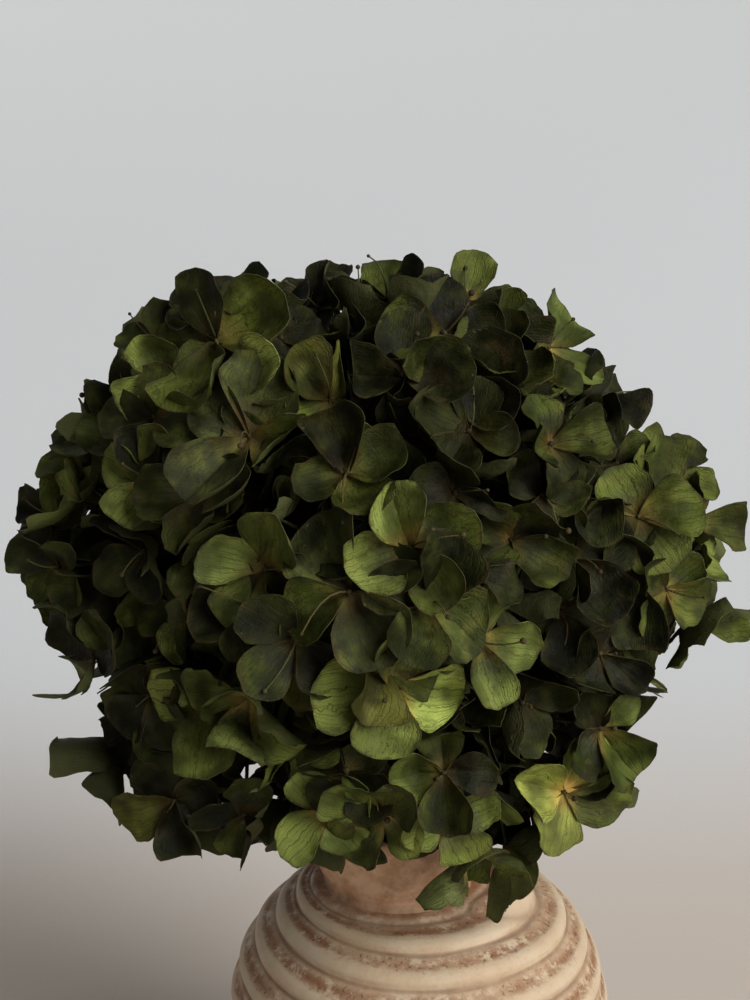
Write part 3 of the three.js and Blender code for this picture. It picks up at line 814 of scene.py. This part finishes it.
def core_points(middle, axis, radius, socket, others):
    """A lumpy ball with a plain hole along the axis and notches where other stems pass."""
    across = unit(np.cross(axis, [0.3, 0.5, 0.8]))
    up = np.cross(axis, across)
    turn = np.linspace(0, 2 * math.pi, CORE_SIDES, endpoint=False)
    ring = across * np.cos(turn)[:, None] + up * np.sin(turn)[:, None]
    lean = np.linspace(math.asin(HOLE[1] / radius), math.pi, CORE_RINGS - 1)[:-1]
    out = axis * np.cos(lean)[:, None, None] + ring * np.sin(lean)[:, None, None]
    reach = open_reach(middle, out.reshape(-1, 3), radius * 1.1, others).reshape(out.shape[:2])
    shape = out @ np.array([[0.5, -0.3], [0.31, 0.6], [0.2, 0.4]]) * radius
    size = radius * (1 + 0.06 * np.sin(shape[..., 0]) + 0.05 * np.sin(shape[..., 1]))
    size[0] = radius
    points = out * np.minimum(size, reach)[..., None]
    hole = [axis * socket + ring * wide for wide in (HOLE[0] * 0.5, HOLE[0])]
    ends = np.array([axis * socket, -axis * min(radius, reach[-1].min())])
    return (middle + np.concatenate([*hole, points.reshape(-1, 3), ends]))[None]


def core_part(index, planes, paths):
    """The head's core, bent at the borders but not beside its own stem."""
    middle = MIDDLES[index]
    tip = paths[index][-1] - middle
    core = core_points(
        middle, unit(tip), RADII[index] * CORE_SIZE, np.linalg.norm(tip) - SOCKET_AIR,
        paths[:index] + paths[index + 1 :],
    )
    beside = np.linalg.norm(stem_offsets(core[0], [paths[index]]), axis=1)
    share = smooth((beside - HOLE[1]) / HOLE[1])[:, None]
    core = core + (bend_wavy(core, planes, BORDER_ROOM.core) - core) * share
    return CORE_FORM, core, plain_leaf(core, KIND.core), np.full((1, 3), CORE_TONE)


def stalk_lines(index, centres, axes, planes, paths, rng):
    """Lines from inside the core to the florets, bowed a little and clear of the stems."""
    middle = MIDDLES[index]
    inward = unit_rows(middle - centres)
    reach = np.linalg.norm(middle - centres, axis=1)
    start = middle - inward * (RADII[index] * CORE_SHARE * 0.7)
    bow = np.cross(inward, rng.normal(size=centres.shape)) * reach[:, None] * 0.05
    lines = start[:, None] * (1 - THREAD) + (centres - axes * 0.2)[:, None] * THREAD
    lines = lines + bow[:, None] * np.sin(math.pi * THREAD)
    lines = push_clear(bend_wavy(lines, planes, BORDER_ROOM.stalk), paths, STALK_ROOM)
    return shrink_clear(lines, lines[:, -1:], paths)


def wisp_lines(centres, planes, paths, rng):
    """Lines and directions of the spent stalks that stand out of the bunch, shorter low down."""
    count = min(WISPS.most, len(centres))
    start = centres[rng.choice(len(centres), count, replace=False)]
    stray = rng.normal(size=(count, 3)) * WISPS.stray
    ahead = unit_rows(unit_rows(start - BUNCH_MIDDLE) + stray)
    swerve = WISPS.swerve * np.cross(ahead, rng.normal(size=(count, 3)))
    low = smooth((LOW.start - start[:, 2]) / LOW.over)
    run = WISPS.run[0] + WISPS.run[1] * rng.random(count)
    run = (run * (1 - LOW.wisps * low))[:, None, None]
    lines = start[:, None] + run * (ahead[:, None] * THREAD + swerve[:, None] * THREAD**2.5)
    lines = bend_clear(bend_wavy(lines, planes, BORDER_ROOM.wisp), BOX_PLANES, WISPS.edge)
    return push_clear(lines, paths, STEM_ROOM), ahead


def head_parts(index, paths):
    """A head's sepals, stalks and buttons, its spent stalks with their buds, and its core."""
    planes = partings(index)
    rng = np.random.default_rng(HEAD_SEED + index)
    florets = frame_florets(index, planes)
    frame_count = len(florets)
    florets += fill_florets(index, planes, florets, paths, rng)
    for floret in florets:
        floret.axis = strayed(floret.axis, rng.random(3), AXIS_STRAY)
        floret.place = push_clear(floret.place[None], paths, FLORET_ROOM)[0]
    sepals = sepal_part(florets, planes, paths, rng)
    centres = bend_wavy(np.array([f.place for f in florets]), planes, BORDER_ROOM.button)
    axes = np.array([f.axis for f in florets])
    lines = stalk_lines(index, centres, axes, planes, paths, rng)
    stalks = thread_part(lines, PEDICEL * (1.5 - 0.6 * THREAD[..., 0]), rng)
    buttons = ball_part(centres + axes * 0.5, axes, BUTTON_SIZE, rng)
    lines, ahead = wisp_lines(centres[:frame_count], planes, paths, rng)
    wisps = thread_part(lines, 0.40 * (1 - 0.4 * THREAD[..., 0]), rng)
    buds = ball_part(lines[:, -1], ahead, BUD_SIZE, rng)
    return [sepals, stalks, buttons, wisps, buds, core_part(index, planes, paths)]


# ---- node materials


class Nodes:
    """Short calls for a material's nodes."""

    def __init__(self, name):
        self.material = bpy.data.materials.new(name)
        self.material.use_nodes = True
        self.tree = self.material.node_tree
        self.shader = next(n for n in self.tree.nodes if n.type == "BSDF_PRINCIPLED")

    def wire(self, value, socket):
        if isinstance(value, bpy.types.NodeSocket):
            self.tree.links.new(value, socket)
        else:
            socket.default_value = value

    def math(self, operation, *values):
        """One Math node, or a row of them that takes in one more value each."""
        node = self.tree.nodes.new("ShaderNodeMath")
        node.operation = operation
        for k, value in enumerate(values[:2]):
            self.wire(value, node.inputs[k])
        result = node.outputs[0]
        return self.math(operation, result, *values[2:]) if values[2:] else result

    def times(self, *values):
        return self.math("MULTIPLY", *values)

    def fade(self, value, low, high, out_low=0.0, out_high=1.0):
        """A smooth step of a value from low to high."""
        node = self.tree.nodes.new("ShaderNodeMapRange")
        node.interpolation_type = "SMOOTHSTEP"
        for k, v in enumerate((value, low, high, out_low, out_high)):
            self.wire(v, node.inputs[k])
        return node.outputs[0]

    def mix(self, share, first, second, mode="MIX"):
        node = self.tree.nodes.new("ShaderNodeMix")
        node.data_type = "RGBA"
        node.blend_type = mode
        self.wire(share, node.inputs[0])
        for k, colour in ((6, first), (7, second)):
            self.wire((*colour, 1.0) if isinstance(colour, tuple) else colour, node.inputs[k])
        return node.outputs[2]

    def layers(self, colour, *coats):
        """A colour under coats of (share, colour)."""
        for share, coat in coats:
            colour = self.mix(share, colour, coat)
        return colour

    def shaded(self, colour, light):
        node = self.tree.nodes.new("ShaderNodeCombineXYZ")
        for socket in node.inputs:
            self.wire(light, socket)
        return self.mix(1.0, colour, node.outputs[0], "MULTIPLY")

    def attribute(self, name):
        node = self.tree.nodes.new("ShaderNodeAttribute")
        node.attribute_name = name
        split = self.tree.nodes.new("ShaderNodeSeparateXYZ")
        self.tree.links.new(node.outputs["Vector"], split.inputs[0])
        return split.outputs[0], split.outputs[1], split.outputs[2]

    def noise(self, scale, detail=4.0, rough=0.55, stretch=None):
        node = self.tree.nodes.new("ShaderNodeTexNoise")
        node.inputs["Scale"].default_value = scale
        node.inputs["Detail"].default_value = detail
        node.inputs["Roughness"].default_value = rough
        vector = self.place()
        if stretch:
            mapping = self.tree.nodes.new("ShaderNodeMapping")
            mapping.inputs["Scale"].default_value = stretch
            self.tree.links.new(vector, mapping.inputs[0])
            vector = mapping.outputs[0]
        self.tree.links.new(vector, node.inputs["Vector"])
        return node.outputs[0]

    def place(self):
        return self.tree.nodes.new("ShaderNodeTexCoord").outputs["Object"]

    def finish(self, colour, roughness, height, distance, strength):
        self.wire(colour, self.shader.inputs["Base Color"])
        self.wire(roughness, self.shader.inputs["Roughness"])
        bump = self.tree.nodes.new("ShaderNodeBump")
        bump.inputs["Strength"].default_value = strength
        bump.inputs["Distance"].default_value = distance
        self.wire(height, bump.inputs["Height"])
        self.wire(bump.outputs[0], self.shader.inputs["Normal"])
        return self.material


# Veins that fan out along a sepal: how many on a half, width, where they start, and strength.
VEINS = ((2.3, 0.09, 0.0, 0.9), (5.2, 0.12, 0.2, 0.65), (10.5, 0.16, 0.45, 0.4))


def sepal_veins(n, t, s, edge):
    """Lengthwise veins, branches towards the edge and a net of small ones between them."""
    def from_half(value):
        return n.math("ABSOLUTE", n.math("SUBTRACT", n.math("FRACT", value), 0.5))

    bend = n.times(n.math("SUBTRACT", n.noise(300, 3.0), 0.5), 1.1)
    veins = []
    for count, wide, start, strength in VEINS:
        fan = n.math("ADD", n.times(s, count), bend, 0.47)
        line = n.fade(from_half(fan), 0.0, wide, strength, 0.0)
        veins.append(n.times(line, n.fade(t, start, start + 0.25)))
    branch = n.math("SUBTRACT", n.times(t, 7.0), n.times(edge, 7.0))
    branch = n.math("ADD", branch, n.times(bend, 2.0))
    veins.append(n.fade(from_half(branch), 0.0, 0.15, 0.18, 0.0))
    net = n.tree.nodes.new("ShaderNodeTexVoronoi")
    net.feature = "DISTANCE_TO_EDGE"
    net.inputs["Scale"].default_value = 900.0
    n.wire(n.place(), net.inputs["Vector"])
    veins.append(n.fade(net.outputs["Distance"], 0.0, 0.09, 0.22, 0.0))
    return n.times(n.math("MAXIMUM", *veins), n.fade(n.noise(75, 2.0), 0.35, 0.62, 0.35, 1.0))


def sepal_material():
    n = Nodes("sepal")
    t, s, kind = n.attribute("leaf")
    # The tone's value holds each floret's random tone together with painted shade deep in the bunch
    # and in the lower layers, and painted light at the right edge and lower front.
    hue, value, spots = n.attribute("tone")
    edge = n.math("ABSOLUTE", s)
    veins = sepal_veins(n, t, s, edge)
    light = n.math("ADD", 0.05, n.times(n.math("POWER", value, 4.0), 4.8))
    base = n.times(n.fade(t, 0.02, 0.42, 0.85, 0.0), n.fade(spots, 0.0, 0.6, 0.45, 1.0))
    cloud = n.times(n.fade(n.noise(130, 5.0), 0.42, 0.66), n.fade(value, 0.25, 0.65, 0.10, 0.4))
    brown = n.fade(n.noise(95, 6.0, 0.65), 0.52, 0.68)
    brown = n.times(brown, n.fade(spots, 0.4, 0.95, 0.1, 0.85))
    blotch = n.times(
        n.fade(t, 0.1, 0.3), n.fade(t, 0.42, 0.72, 1.0, 0.0),
        n.fade(n.noise(150, 4.0, 0.6), 0.38, 0.56), n.fade(spots, 0.5, 0.75, 0.0, 0.62),
    )
    fleck = n.times(n.fade(n.noise(900, 2.0), 0.64, 0.72, 0.0, 0.7), spots)
    dry = n.math("MAXIMUM", n.fade(edge, 0.86, 1.0), n.fade(t, 0.93, 1.0))
    dry = n.times(dry, n.fade(n.noise(240, 3.0), 0.40, 0.62, 0.1, 0.8))
    green = n.layers(
        n.mix(hue, (0.060, 0.090, 0.013), (0.120, 0.145, 0.019)),
        (n.fade(hue, 0.0, 0.26, 0.8, 0.0), (0.090, 0.092, 0.044)),
        (n.fade(hue, 0.74, 1.0, 0.0, 0.75), (0.186, 0.166, 0.024)),
    )
    green = n.layers(
        n.shaded(green, light),
        (n.fade(value, 0.55, 0.9, 0.0, 0.55), (0.205, 0.235, 0.080)),
        (base, n.shaded((0.250, 0.150, 0.040), light)),
        (cloud, (0.160, 0.168, 0.036)),
        (brown, (0.050, 0.033, 0.014)),
        (blotch, (0.026, 0.025, 0.019)),
        (fleck, (0.024, 0.017, 0.010)),
        (dry, (0.045, 0.032, 0.013)),
        (n.times(veins, 0.7), (0.020, 0.022, 0.006)),
    )
    # Painted light and shade: brightness swells and falls over patches some 14 mm across, standing
    # in for the shading of curved sepals.
    green = n.shaded(green, n.fade(n.noise(75, 2.0, 0.5), 0.36, 0.64, 0.48, 1.42))
    colour = n.layers(
        green,
        (n.fade(kind, 0.1, 0.2), n.mix(0.45, green, (0.105, 0.112, 0.045))),
        (n.fade(kind, 0.6, 0.8), n.mix(hue, (0.085, 0.062, 0.026), (0.070, 0.080, 0.026))),
        (n.fade(kind, 1.2, 1.3), n.mix(value, (0.030, 0.022, 0.014), (0.065, 0.050, 0.020))),
        # Painted shade: the core is near black, so the gaps down to it read as deep shadow.
        (n.fade(kind, 1.7, 1.8), (0.013, 0.014, 0.007)),
    )
    crumple = n.noise(260, 4.0, 0.6)
    height = n.math("SUBTRACT", crumple, n.times(veins, 0.3))
    height = n.math("ADD", height, n.times(n.noise(1500, 3.0), 0.18))
    n.shader.inputs["Specular IOR Level"].default_value = 0.12
    return n.finish(colour, n.fade(crumple, 0.3, 0.7, 0.5, 0.72), height, 0.0009, 0.8)


def stem_material():
    n = Nodes("woody_stem")
    _, _, cut = n.attribute("leaf")
    streak = n.noise(420, 5.0, 0.6, stretch=(1.0, 1.0, 0.12))
    bark = n.layers(
        n.mix(n.fade(streak, 0.35, 0.65), (0.055, 0.036, 0.020), (0.165, 0.120, 0.066)),
        (n.fade(n.noise(90, 3.0), 0.45, 0.7, 0.0, 0.5), (0.110, 0.105, 0.045)),
        (n.fade(n.noise(1300, 2.0), 0.62, 0.7, 0.0, 0.7), (0.026, 0.018, 0.012)),
        (n.fade(cut, 0.5, 1.0), (0.260, 0.205, 0.130)),
    )
    return n.finish(bark, n.fade(streak, 0.3, 0.7, 0.62, 0.85), streak, 0.0006, 0.9)


def vase_material():
    n = Nodes("stoneware")
    crest, groove, neck = n.attribute("leaf")
    wash, _, _ = n.attribute("tone")
    cloud = n.noise(34, 5.0, 0.6)
    blot = n.noise(130, 6.0, 0.7)
    grit = n.noise(300, 5.0, 0.75)
    cream = n.mix(n.fade(cloud, 0.35, 0.65), (0.520, 0.392, 0.258), (0.570, 0.465, 0.335))
    # The neck's own pinkish clay, made lighter as painted light where the bunch's shadow falls on
    # the neck.
    clay_and_painted_light = n.layers(
        n.mix(n.fade(blot, 0.35, 0.65), (0.740, 0.490, 0.320), (0.570, 0.320, 0.180)),
        (n.fade(cloud, 0.5, 0.62, 0.0, 0.6), (0.210, 0.095, 0.050)),
    )
    speckle = n.fade(n.times(n.math("ADD", blot, grit), 0.5), 0.40, 0.52)
    washed = n.times(wash, speckle, n.fade(cloud, 0.32, 0.55, 0.35, 1.0), 0.95)
    pits = n.times(
        n.fade(n.noise(620, 3.0, 0.6), 0.56, 0.66, 0.0, 0.9),
        n.math("ADD", 0.10, n.times(wash, 0.85)),
        n.fade(blot, 0.38, 0.56, 0.25, 1.0),
    )
    body = n.layers(
        cream,
        (n.fade(blot, 0.35, 0.7, 0.0, 0.40), (0.440, 0.265, 0.150)),
        (washed, (0.240, 0.106, 0.046)),
        (n.times(groove, n.fade(cloud, 0.25, 0.55, 0.3, 0.75)), (0.200, 0.105, 0.056)),
        (n.times(crest, 0.8), cream),
        (n.math("MINIMUM", pits, 0.9), (0.120, 0.058, 0.030)),
        (n.times(neck, 0.85), clay_and_painted_light),
    )
    height = n.math("ADD", n.times(blot, 0.6), n.times(grit, 0.45))
    height = n.math("SUBTRACT", height, n.times(pits, 0.3))
    n.shader.inputs["Specular IOR Level"].default_value = 0.35
    return n.finish(body, n.fade(blot, 0.3, 0.7, 0.55, 0.82), height, 0.0008, 0.8)


# ---- vase


def body_profile(angle):
    a = angle * DEGREE
    end = VASE.foot_angle * DEGREE
    belly, neck = VASE.belly_radius, VASE.neck_radius
    middle = (VASE.foot_radius - belly * math.cos(end)) / (1 - math.cos(end))
    above = angle >= 0
    radius = np.where(
        above, neck + (belly - neck) * np.cos(a), middle + (belly - middle) * np.cos(a)
    )
    rise = VASE.shoulder_height - VASE.belly_height
    height = np.where(
        above,
        VASE.belly_height + rise * np.sin(a),
        VASE.belly_height * (1 + np.sin(a) / math.sin(end)),
    )
    return radius, height


def neck_shift(angle):
    blend = VASE.neck_blend
    return VASE.neck_offset * smooth((angle - blend) / (90 - blend))


# The relief of one ring from its band over the groove and the ridge to the next band.
RELIEF = [
    (0.0, -0.1), (0.16, -0.15), (0.27, -0.75), (0.333, -1.0), (0.39, -0.3), (0.46, 0.85),
    (0.56, 1.2), (0.667, 1.3), (0.80, 0.85), (0.92, 0.15), (1.0, -0.1),
]


def relief_at(phase):
    spots, values = zip(*RELIEF)
    return sum(np.interp((phase + d) % 1.0, spots, values) for d in (-0.02, 0, 0.02)) / 3


BLUR = ((0.2, -0.4), (0.6, 0), (0.2, 0.4))  # shares and offsets that round the neck's outline
HAND_WAVES = ((0.10, 5, 31, 0), (0.08, 9, -47, 1))  # rise, runs round and up, start
BAND_HALF = 0.36
STEP_LINE = 0.28
INNER_SPAN = (64, -34, 22)


def body_rows(phi):
    """The ringed body: its points, and for each its crest, groove, neck and wash values."""
    steps = RINGS * 21
    share = (np.arange(steps + 1) / steps)[:, None]
    phase = (share * RINGS) % 1.0
    edge = smooth(share * RING_ENDS) * smooth((1 - share) * RING_ENDS)
    hand = sum(rise * np.sin(turns * phi + up * share + k) for rise, turns, up, k in HAND_WAVES)
    relief = edge * relief_at(phase) + hand * edge
    wave = (
        RING_WAVE.double * np.cos(2 * phi + RING_WAVE.double_start)
        + RING_WAVE.triple * np.sin(3 * phi + RING_WAVE.triple_start)
        - np.sin(phi)
    )
    dip = RING_DIP * np.sin(math.pi * share) * wave
    angle = -VASE.foot_angle + (VASE.foot_angle + 90) * share - dip
    radius, height = body_profile(angle)
    out = radius + relief * np.cos(angle * DEGREE)
    x = neck_shift(angle) + out * np.cos(phi)
    y = out * np.sin(phi)
    upper = smooth(angle / MOUND_FADE[0]) * smooth((1 - share) * MOUND_FADE[1])
    rise = np.zeros(x.shape)
    slope = np.zeros(x.shape)
    for mx, my, mr, mz in MOUNDS:
        step = (mr - np.hypot(x - mx, y - my)) / MOUND_EDGE
        rise += mz * smooth(step)
        slope += upper * np.exp(-((step / STEP_LINE) ** 2))
    z = height + relief * np.sin(angle * DEGREE) + upper * rise
    crest = smooth((relief - 0.55) / 0.5)
    groove = smooth((-relief - 0.35) / 0.5) * edge
    band = smooth(1 - np.abs(((phase + 0.5) % 1.0) - 0.5) / BAND_HALF) * edge + 0 * phi
    marks = [
        crest * (1 - slope * 0.5),
        np.maximum(groove, slope * 0.8),
        smooth((share - 0.93) / 0.07) + 0 * phi,
        np.maximum(band, 0.9 * smooth((share - 0.90) / 0.08)),
    ]
    return np.stack([x, y, z], -1), np.stack(marks, -1)


def level_rows(phi, radii, heights, offsets, neck, wash):
    """Level rings with one neck and one wash value."""
    r, h, o = (np.reshape(v, (-1, 1)) for v in (radii, heights, offsets))
    points = np.stack([o + r * np.cos(phi), r * np.sin(phi), h + 0 * phi], -1)
    marks = np.zeros((*points.shape[:2], 4))
    marks[..., 2:] = neck, wash
    return points, marks


def vase_piece(material):
    columns = 216
    phi = (90 * DEGREE + np.arange(columns) / columns * 2 * math.pi)[None]
    knots = np.array([(VASE.neck_radius, VASE.shoulder_height), *NECK], float)
    spots = np.arange(len(knots))
    fine = np.linspace(0, spots[-1], spots[-1] * 4 + 1)[1:]
    outline = [sum(w * np.interp(fine + d, spots, line) for w, d in BLUR) for line in knots.T]
    inner = np.linspace(*INNER_SPAN)
    radius, height = body_profile(inner)
    radius = radius - VASE.wall * np.cos(inner * DEGREE)
    height = height - VASE.wall * np.sin(inner * DEGREE)
    rows = [
        body_rows(phi),
        level_rows(phi, *outline, VASE.neck_offset, 1.0, 0.35),
        level_rows(phi, radius, height, neck_shift(inner), 0.6, 0.3),
        level_rows(phi, VASE.foot_radius - VASE.floor_inset, VASE.floor, 0, 0.6, 0.3),
    ]
    points, marks = (np.concatenate(arrays) for arrays in zip(*rows))
    form = tube_form(len(points), columns)
    points = np.concatenate([points.reshape(-1, 3), [[0, 0, 0], [0, 0, VASE.floor]]])
    marks = np.concatenate([marks.reshape(-1, 4), [[0, 0, 0.5, 0]] * 2])
    tone = marks[:, 3:] * [1, 0, 0]
    parts = [(form, points[None], marks[None, :, :3], tone[None])]
    return make_object("vase_body", parts, material, smooth_angle=70)


# ---- stems


def throat_angles():
    step = 2 * math.pi / len(HEADS)
    order = sorted(
        (math.atan2(m[1], m[0] - VASE.neck_offset), index) for index, m in enumerate(MIDDLES)
    )
    turn = sum(angle - rank * step for rank, (angle, _) in enumerate(order)) / len(HEADS)
    angles = [0.0] * len(HEADS)
    for rank, (_, index) in enumerate(order):
        angles[index] = turn + rank * step
    return angles


def centripetal(points, samples):
    """Even points along a centripetal Catmull-Rom curve."""
    knots = [2 * points[0] - points[1], *points, 2 * points[-1] - points[-2]]
    dense = []
    for k in range(len(points) - 1):
        p0, p1, p2, p3 = knots[k : k + 4]
        d0, d1, d2 = (math.sqrt(np.linalg.norm(b - a)) for a, b in ((p0, p1), (p1, p2), (p2, p3)))
        m1 = ((p1 - p0) / d0 - (p2 - p0) / (d0 + d1) + (p2 - p1) / d1) * d1
        m2 = ((p2 - p1) / d1 - (p3 - p1) / (d1 + d2) + (p3 - p2) / d2) * d1
        for u in np.linspace(0, 1, 40, endpoint=k == len(points) - 2):
            a = 2 * u**3 - 3 * u**2 + 1
            b = u**3 - 2 * u**2 + u
            dense.append(a * p1 + b * m1 + (1 - a) * p2 + (u**3 - u**2) * m2)
    dense = np.array(dense)
    run = np.concatenate([[0], np.cumsum(np.linalg.norm(np.diff(dense, axis=0), axis=1))])
    even = np.linspace(0, run[-1], samples)
    return np.stack([np.interp(even, run, dense[:, k]) for k in range(3)], 1)


STEM_RINGS, STEM_SIDES = 60, 14
STEM_FORM = tube_form(STEM_RINGS, STEM_SIDES)


def stem_path(index, angle):
    foot = angle - STEM.twist
    ring, throat_ring = STEM.foot_ring, STEM.throat_ring
    level = VASE.floor + CLEARANCE
    bottom = np.array([ring * math.cos(foot), ring * math.sin(foot), level])
    throat = np.array([
        VASE.neck_offset + throat_ring * math.cos(angle),
        throat_ring * math.sin(angle),
        STEM.throat_height,
    ])
    middle, radius = MIDDLES[index], RADII[index]
    towards = throat + (middle - throat) * STEM.bend_share
    towards[2] += STEM.bend_rise
    tip = middle + unit(towards - middle) * (radius * CORE_SHARE - STEM.socket)
    line = [bottom + (throat - bottom) * share for share in STEM.straight]
    return centripetal([*line, towards, tip], STEM_RINGS)


KNOTS = Named(at=(0.22, 0.45, 0.66), stray=0.05, width=0.014, swell=0.13)
BARK_STRAY = 0.05


def stem_piece(index, path, material):
    share = np.linspace(0, 1, STEM_RINGS)
    rng = np.random.default_rng(STEM_SEED + index)
    swell = np.zeros(STEM_RINGS)
    for at in KNOTS.at:
        run = (share - at - KNOTS.stray * rng.random()) / KNOTS.width
        swell += KNOTS.swell * np.exp(-(run**2))
    thick = STEM.radius * (1 - STEM.taper * share) * (0.95 + swell)
    points = tube_points(path[None], thick[None], STEM_SIDES)
    rings = points[:, :-2].reshape(STEM_RINGS, STEM_SIDES, 3)
    stray = rng.normal(size=(STEM_RINGS, STEM_SIDES)) * BARK_STRAY
    rings += unit_rows(rings - path[:, None]) * stray[..., None]
    rings[0, :, 2] = path[0, 2]
    points[:, :-2] = rings.reshape(1, -1, 3)
    leaf = plain_leaf(points, 0.0)
    leaf[:, -2, 2] = 1.0
    name = HEADS[index][0].replace("head", "stem")
    parts = [(STEM_FORM, points, leaf, np.full((1, 3), 0.5))]
    return make_object(name.replace("stem", "woody_stem"), parts, material), name


# ---- assembly


def dress():
    vase = vase_piece(vase_material())
    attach(vase, "root")
    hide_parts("vase")
    bark = stem_material()
    paths = [stem_path(index, angle) for index, angle in enumerate(throat_angles())]
    for index, path in enumerate(paths):
        stem, node = stem_piece(index, path, bark)
        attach(stem, "root")
        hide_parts(node)
    sepal = sepal_material()
    for index, (node, _, _) in enumerate(HEADS):
        bloom = make_object(node.replace("head", "bloom"), head_parts(index, paths), sepal)
        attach(bloom, "root")
        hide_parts(node)


def stage_sweep():
    """A pale floor that rises like a wide dish far away on all sides."""
    flat, rim, top, turns, steps = 1.9, 7.5, 1.15, 96, 24
    profile = [(flat * k / 6, 0.0) for k in range(1, 7)]
    for k in range(1, steps + 1):
        profile.append((flat + (rim - flat) * k / steps, top * (k / steps) ** 2))
    points = [(0.0, 0.0, 0.0)]
    for radius, height in profile:
        for k in range(turns):
            a = 2 * math.pi * k / turns
            points.append((radius * math.cos(a), radius * math.sin(a), height))
    grid = np.arange(1, len(points)).reshape(-1, turns)
    ahead = np.roll(grid, -1, axis=1)
    faces = [(0, *pair) for pair in np.stack([grid[0], ahead[0]], -1).tolist()]
    faces += np.stack([grid[:-1], grid[1:], ahead[1:], ahead[:-1]], -1).reshape(-1, 4).tolist()
    mesh = bpy.data.meshes.new("sweep")
    mesh.from_pydata(points, [], faces)
    mesh.polygons.foreach_set("use_smooth", [True] * len(faces))
    sweep = add_object("sweep", mesh)
    n = Nodes("pale_floor")
    split = n.tree.nodes.new("ShaderNodeSeparateXYZ")
    n.tree.links.new(n.place(), split.inputs[0])
    far = n.fade(split.outputs[1], 0.12, 0.55)
    colour = n.mix(far, (0.590, 0.520, 0.455), (0.680, 0.694, 0.710))
    mesh.materials.append(n.finish(colour, 0.9, n.noise(600, 2.0), 0.0003, 0.2))


# Name, strength, angle across, colour and direction of each sun.
SUNS = [
    ("soft_key", 3.75, 50, (1.0, 0.985, 0.96), (-0.66, 0.53, -0.52)),
    ("soft_back", 0.4, 70, (1.0, 1.0, 1.0), (0.6, -0.8, -0.6)),
]


def aim(item, direction):
    item.rotation_mode = "QUATERNION"
    item.rotation_quaternion = Vector(direction).to_track_quat("-Z", "Y")


def lights_and_camera():
    scene = bpy.context.scene
    world = bpy.data.worlds.new("studio")
    world.use_nodes = True
    sky = world.node_tree.nodes["Background"]
    sky.inputs[0].default_value = (0.86, 0.87, 0.89, 1.0)
    sky.inputs[1].default_value = 0.10
    scene.world = world
    for name, energy, degrees, colour, direction in SUNS:
        sun = bpy.data.lights.new(name, "SUN")
        sun.energy, sun.angle, sun.color = energy, degrees * DEGREE, colour
        aim(add_object(name, sun), direction)
    wash = bpy.data.lights.new("sweep_wash", "AREA")
    wash.shape = "RECTANGLE"
    wash.size = wash.size_y = 1.0
    wash.energy = 7.0
    lamp = add_object("sweep_wash", wash)
    lamp.location = (1.7, 1.0, 1.5)
    aim(lamp, Vector((0.9, 2.3, 0.2)) - lamp.location)
    lens = bpy.data.cameras.new("camera")
    lens.lens = 80.0
    lens.sensor_width = 36.0
    lens.clip_start, lens.clip_end = 0.01, 50.0
    camera = add_object("camera", lens)
    camera.location = (-0.01674, -0.765, 0.504)
    aim(camera, Vector((-0.01674, 0.0, 0.270)) - camera.location)
    scene.camera = camera
    scene.view_settings.view_transform = "Standard"


dress()
stage_sweep()
lights_and_camera()
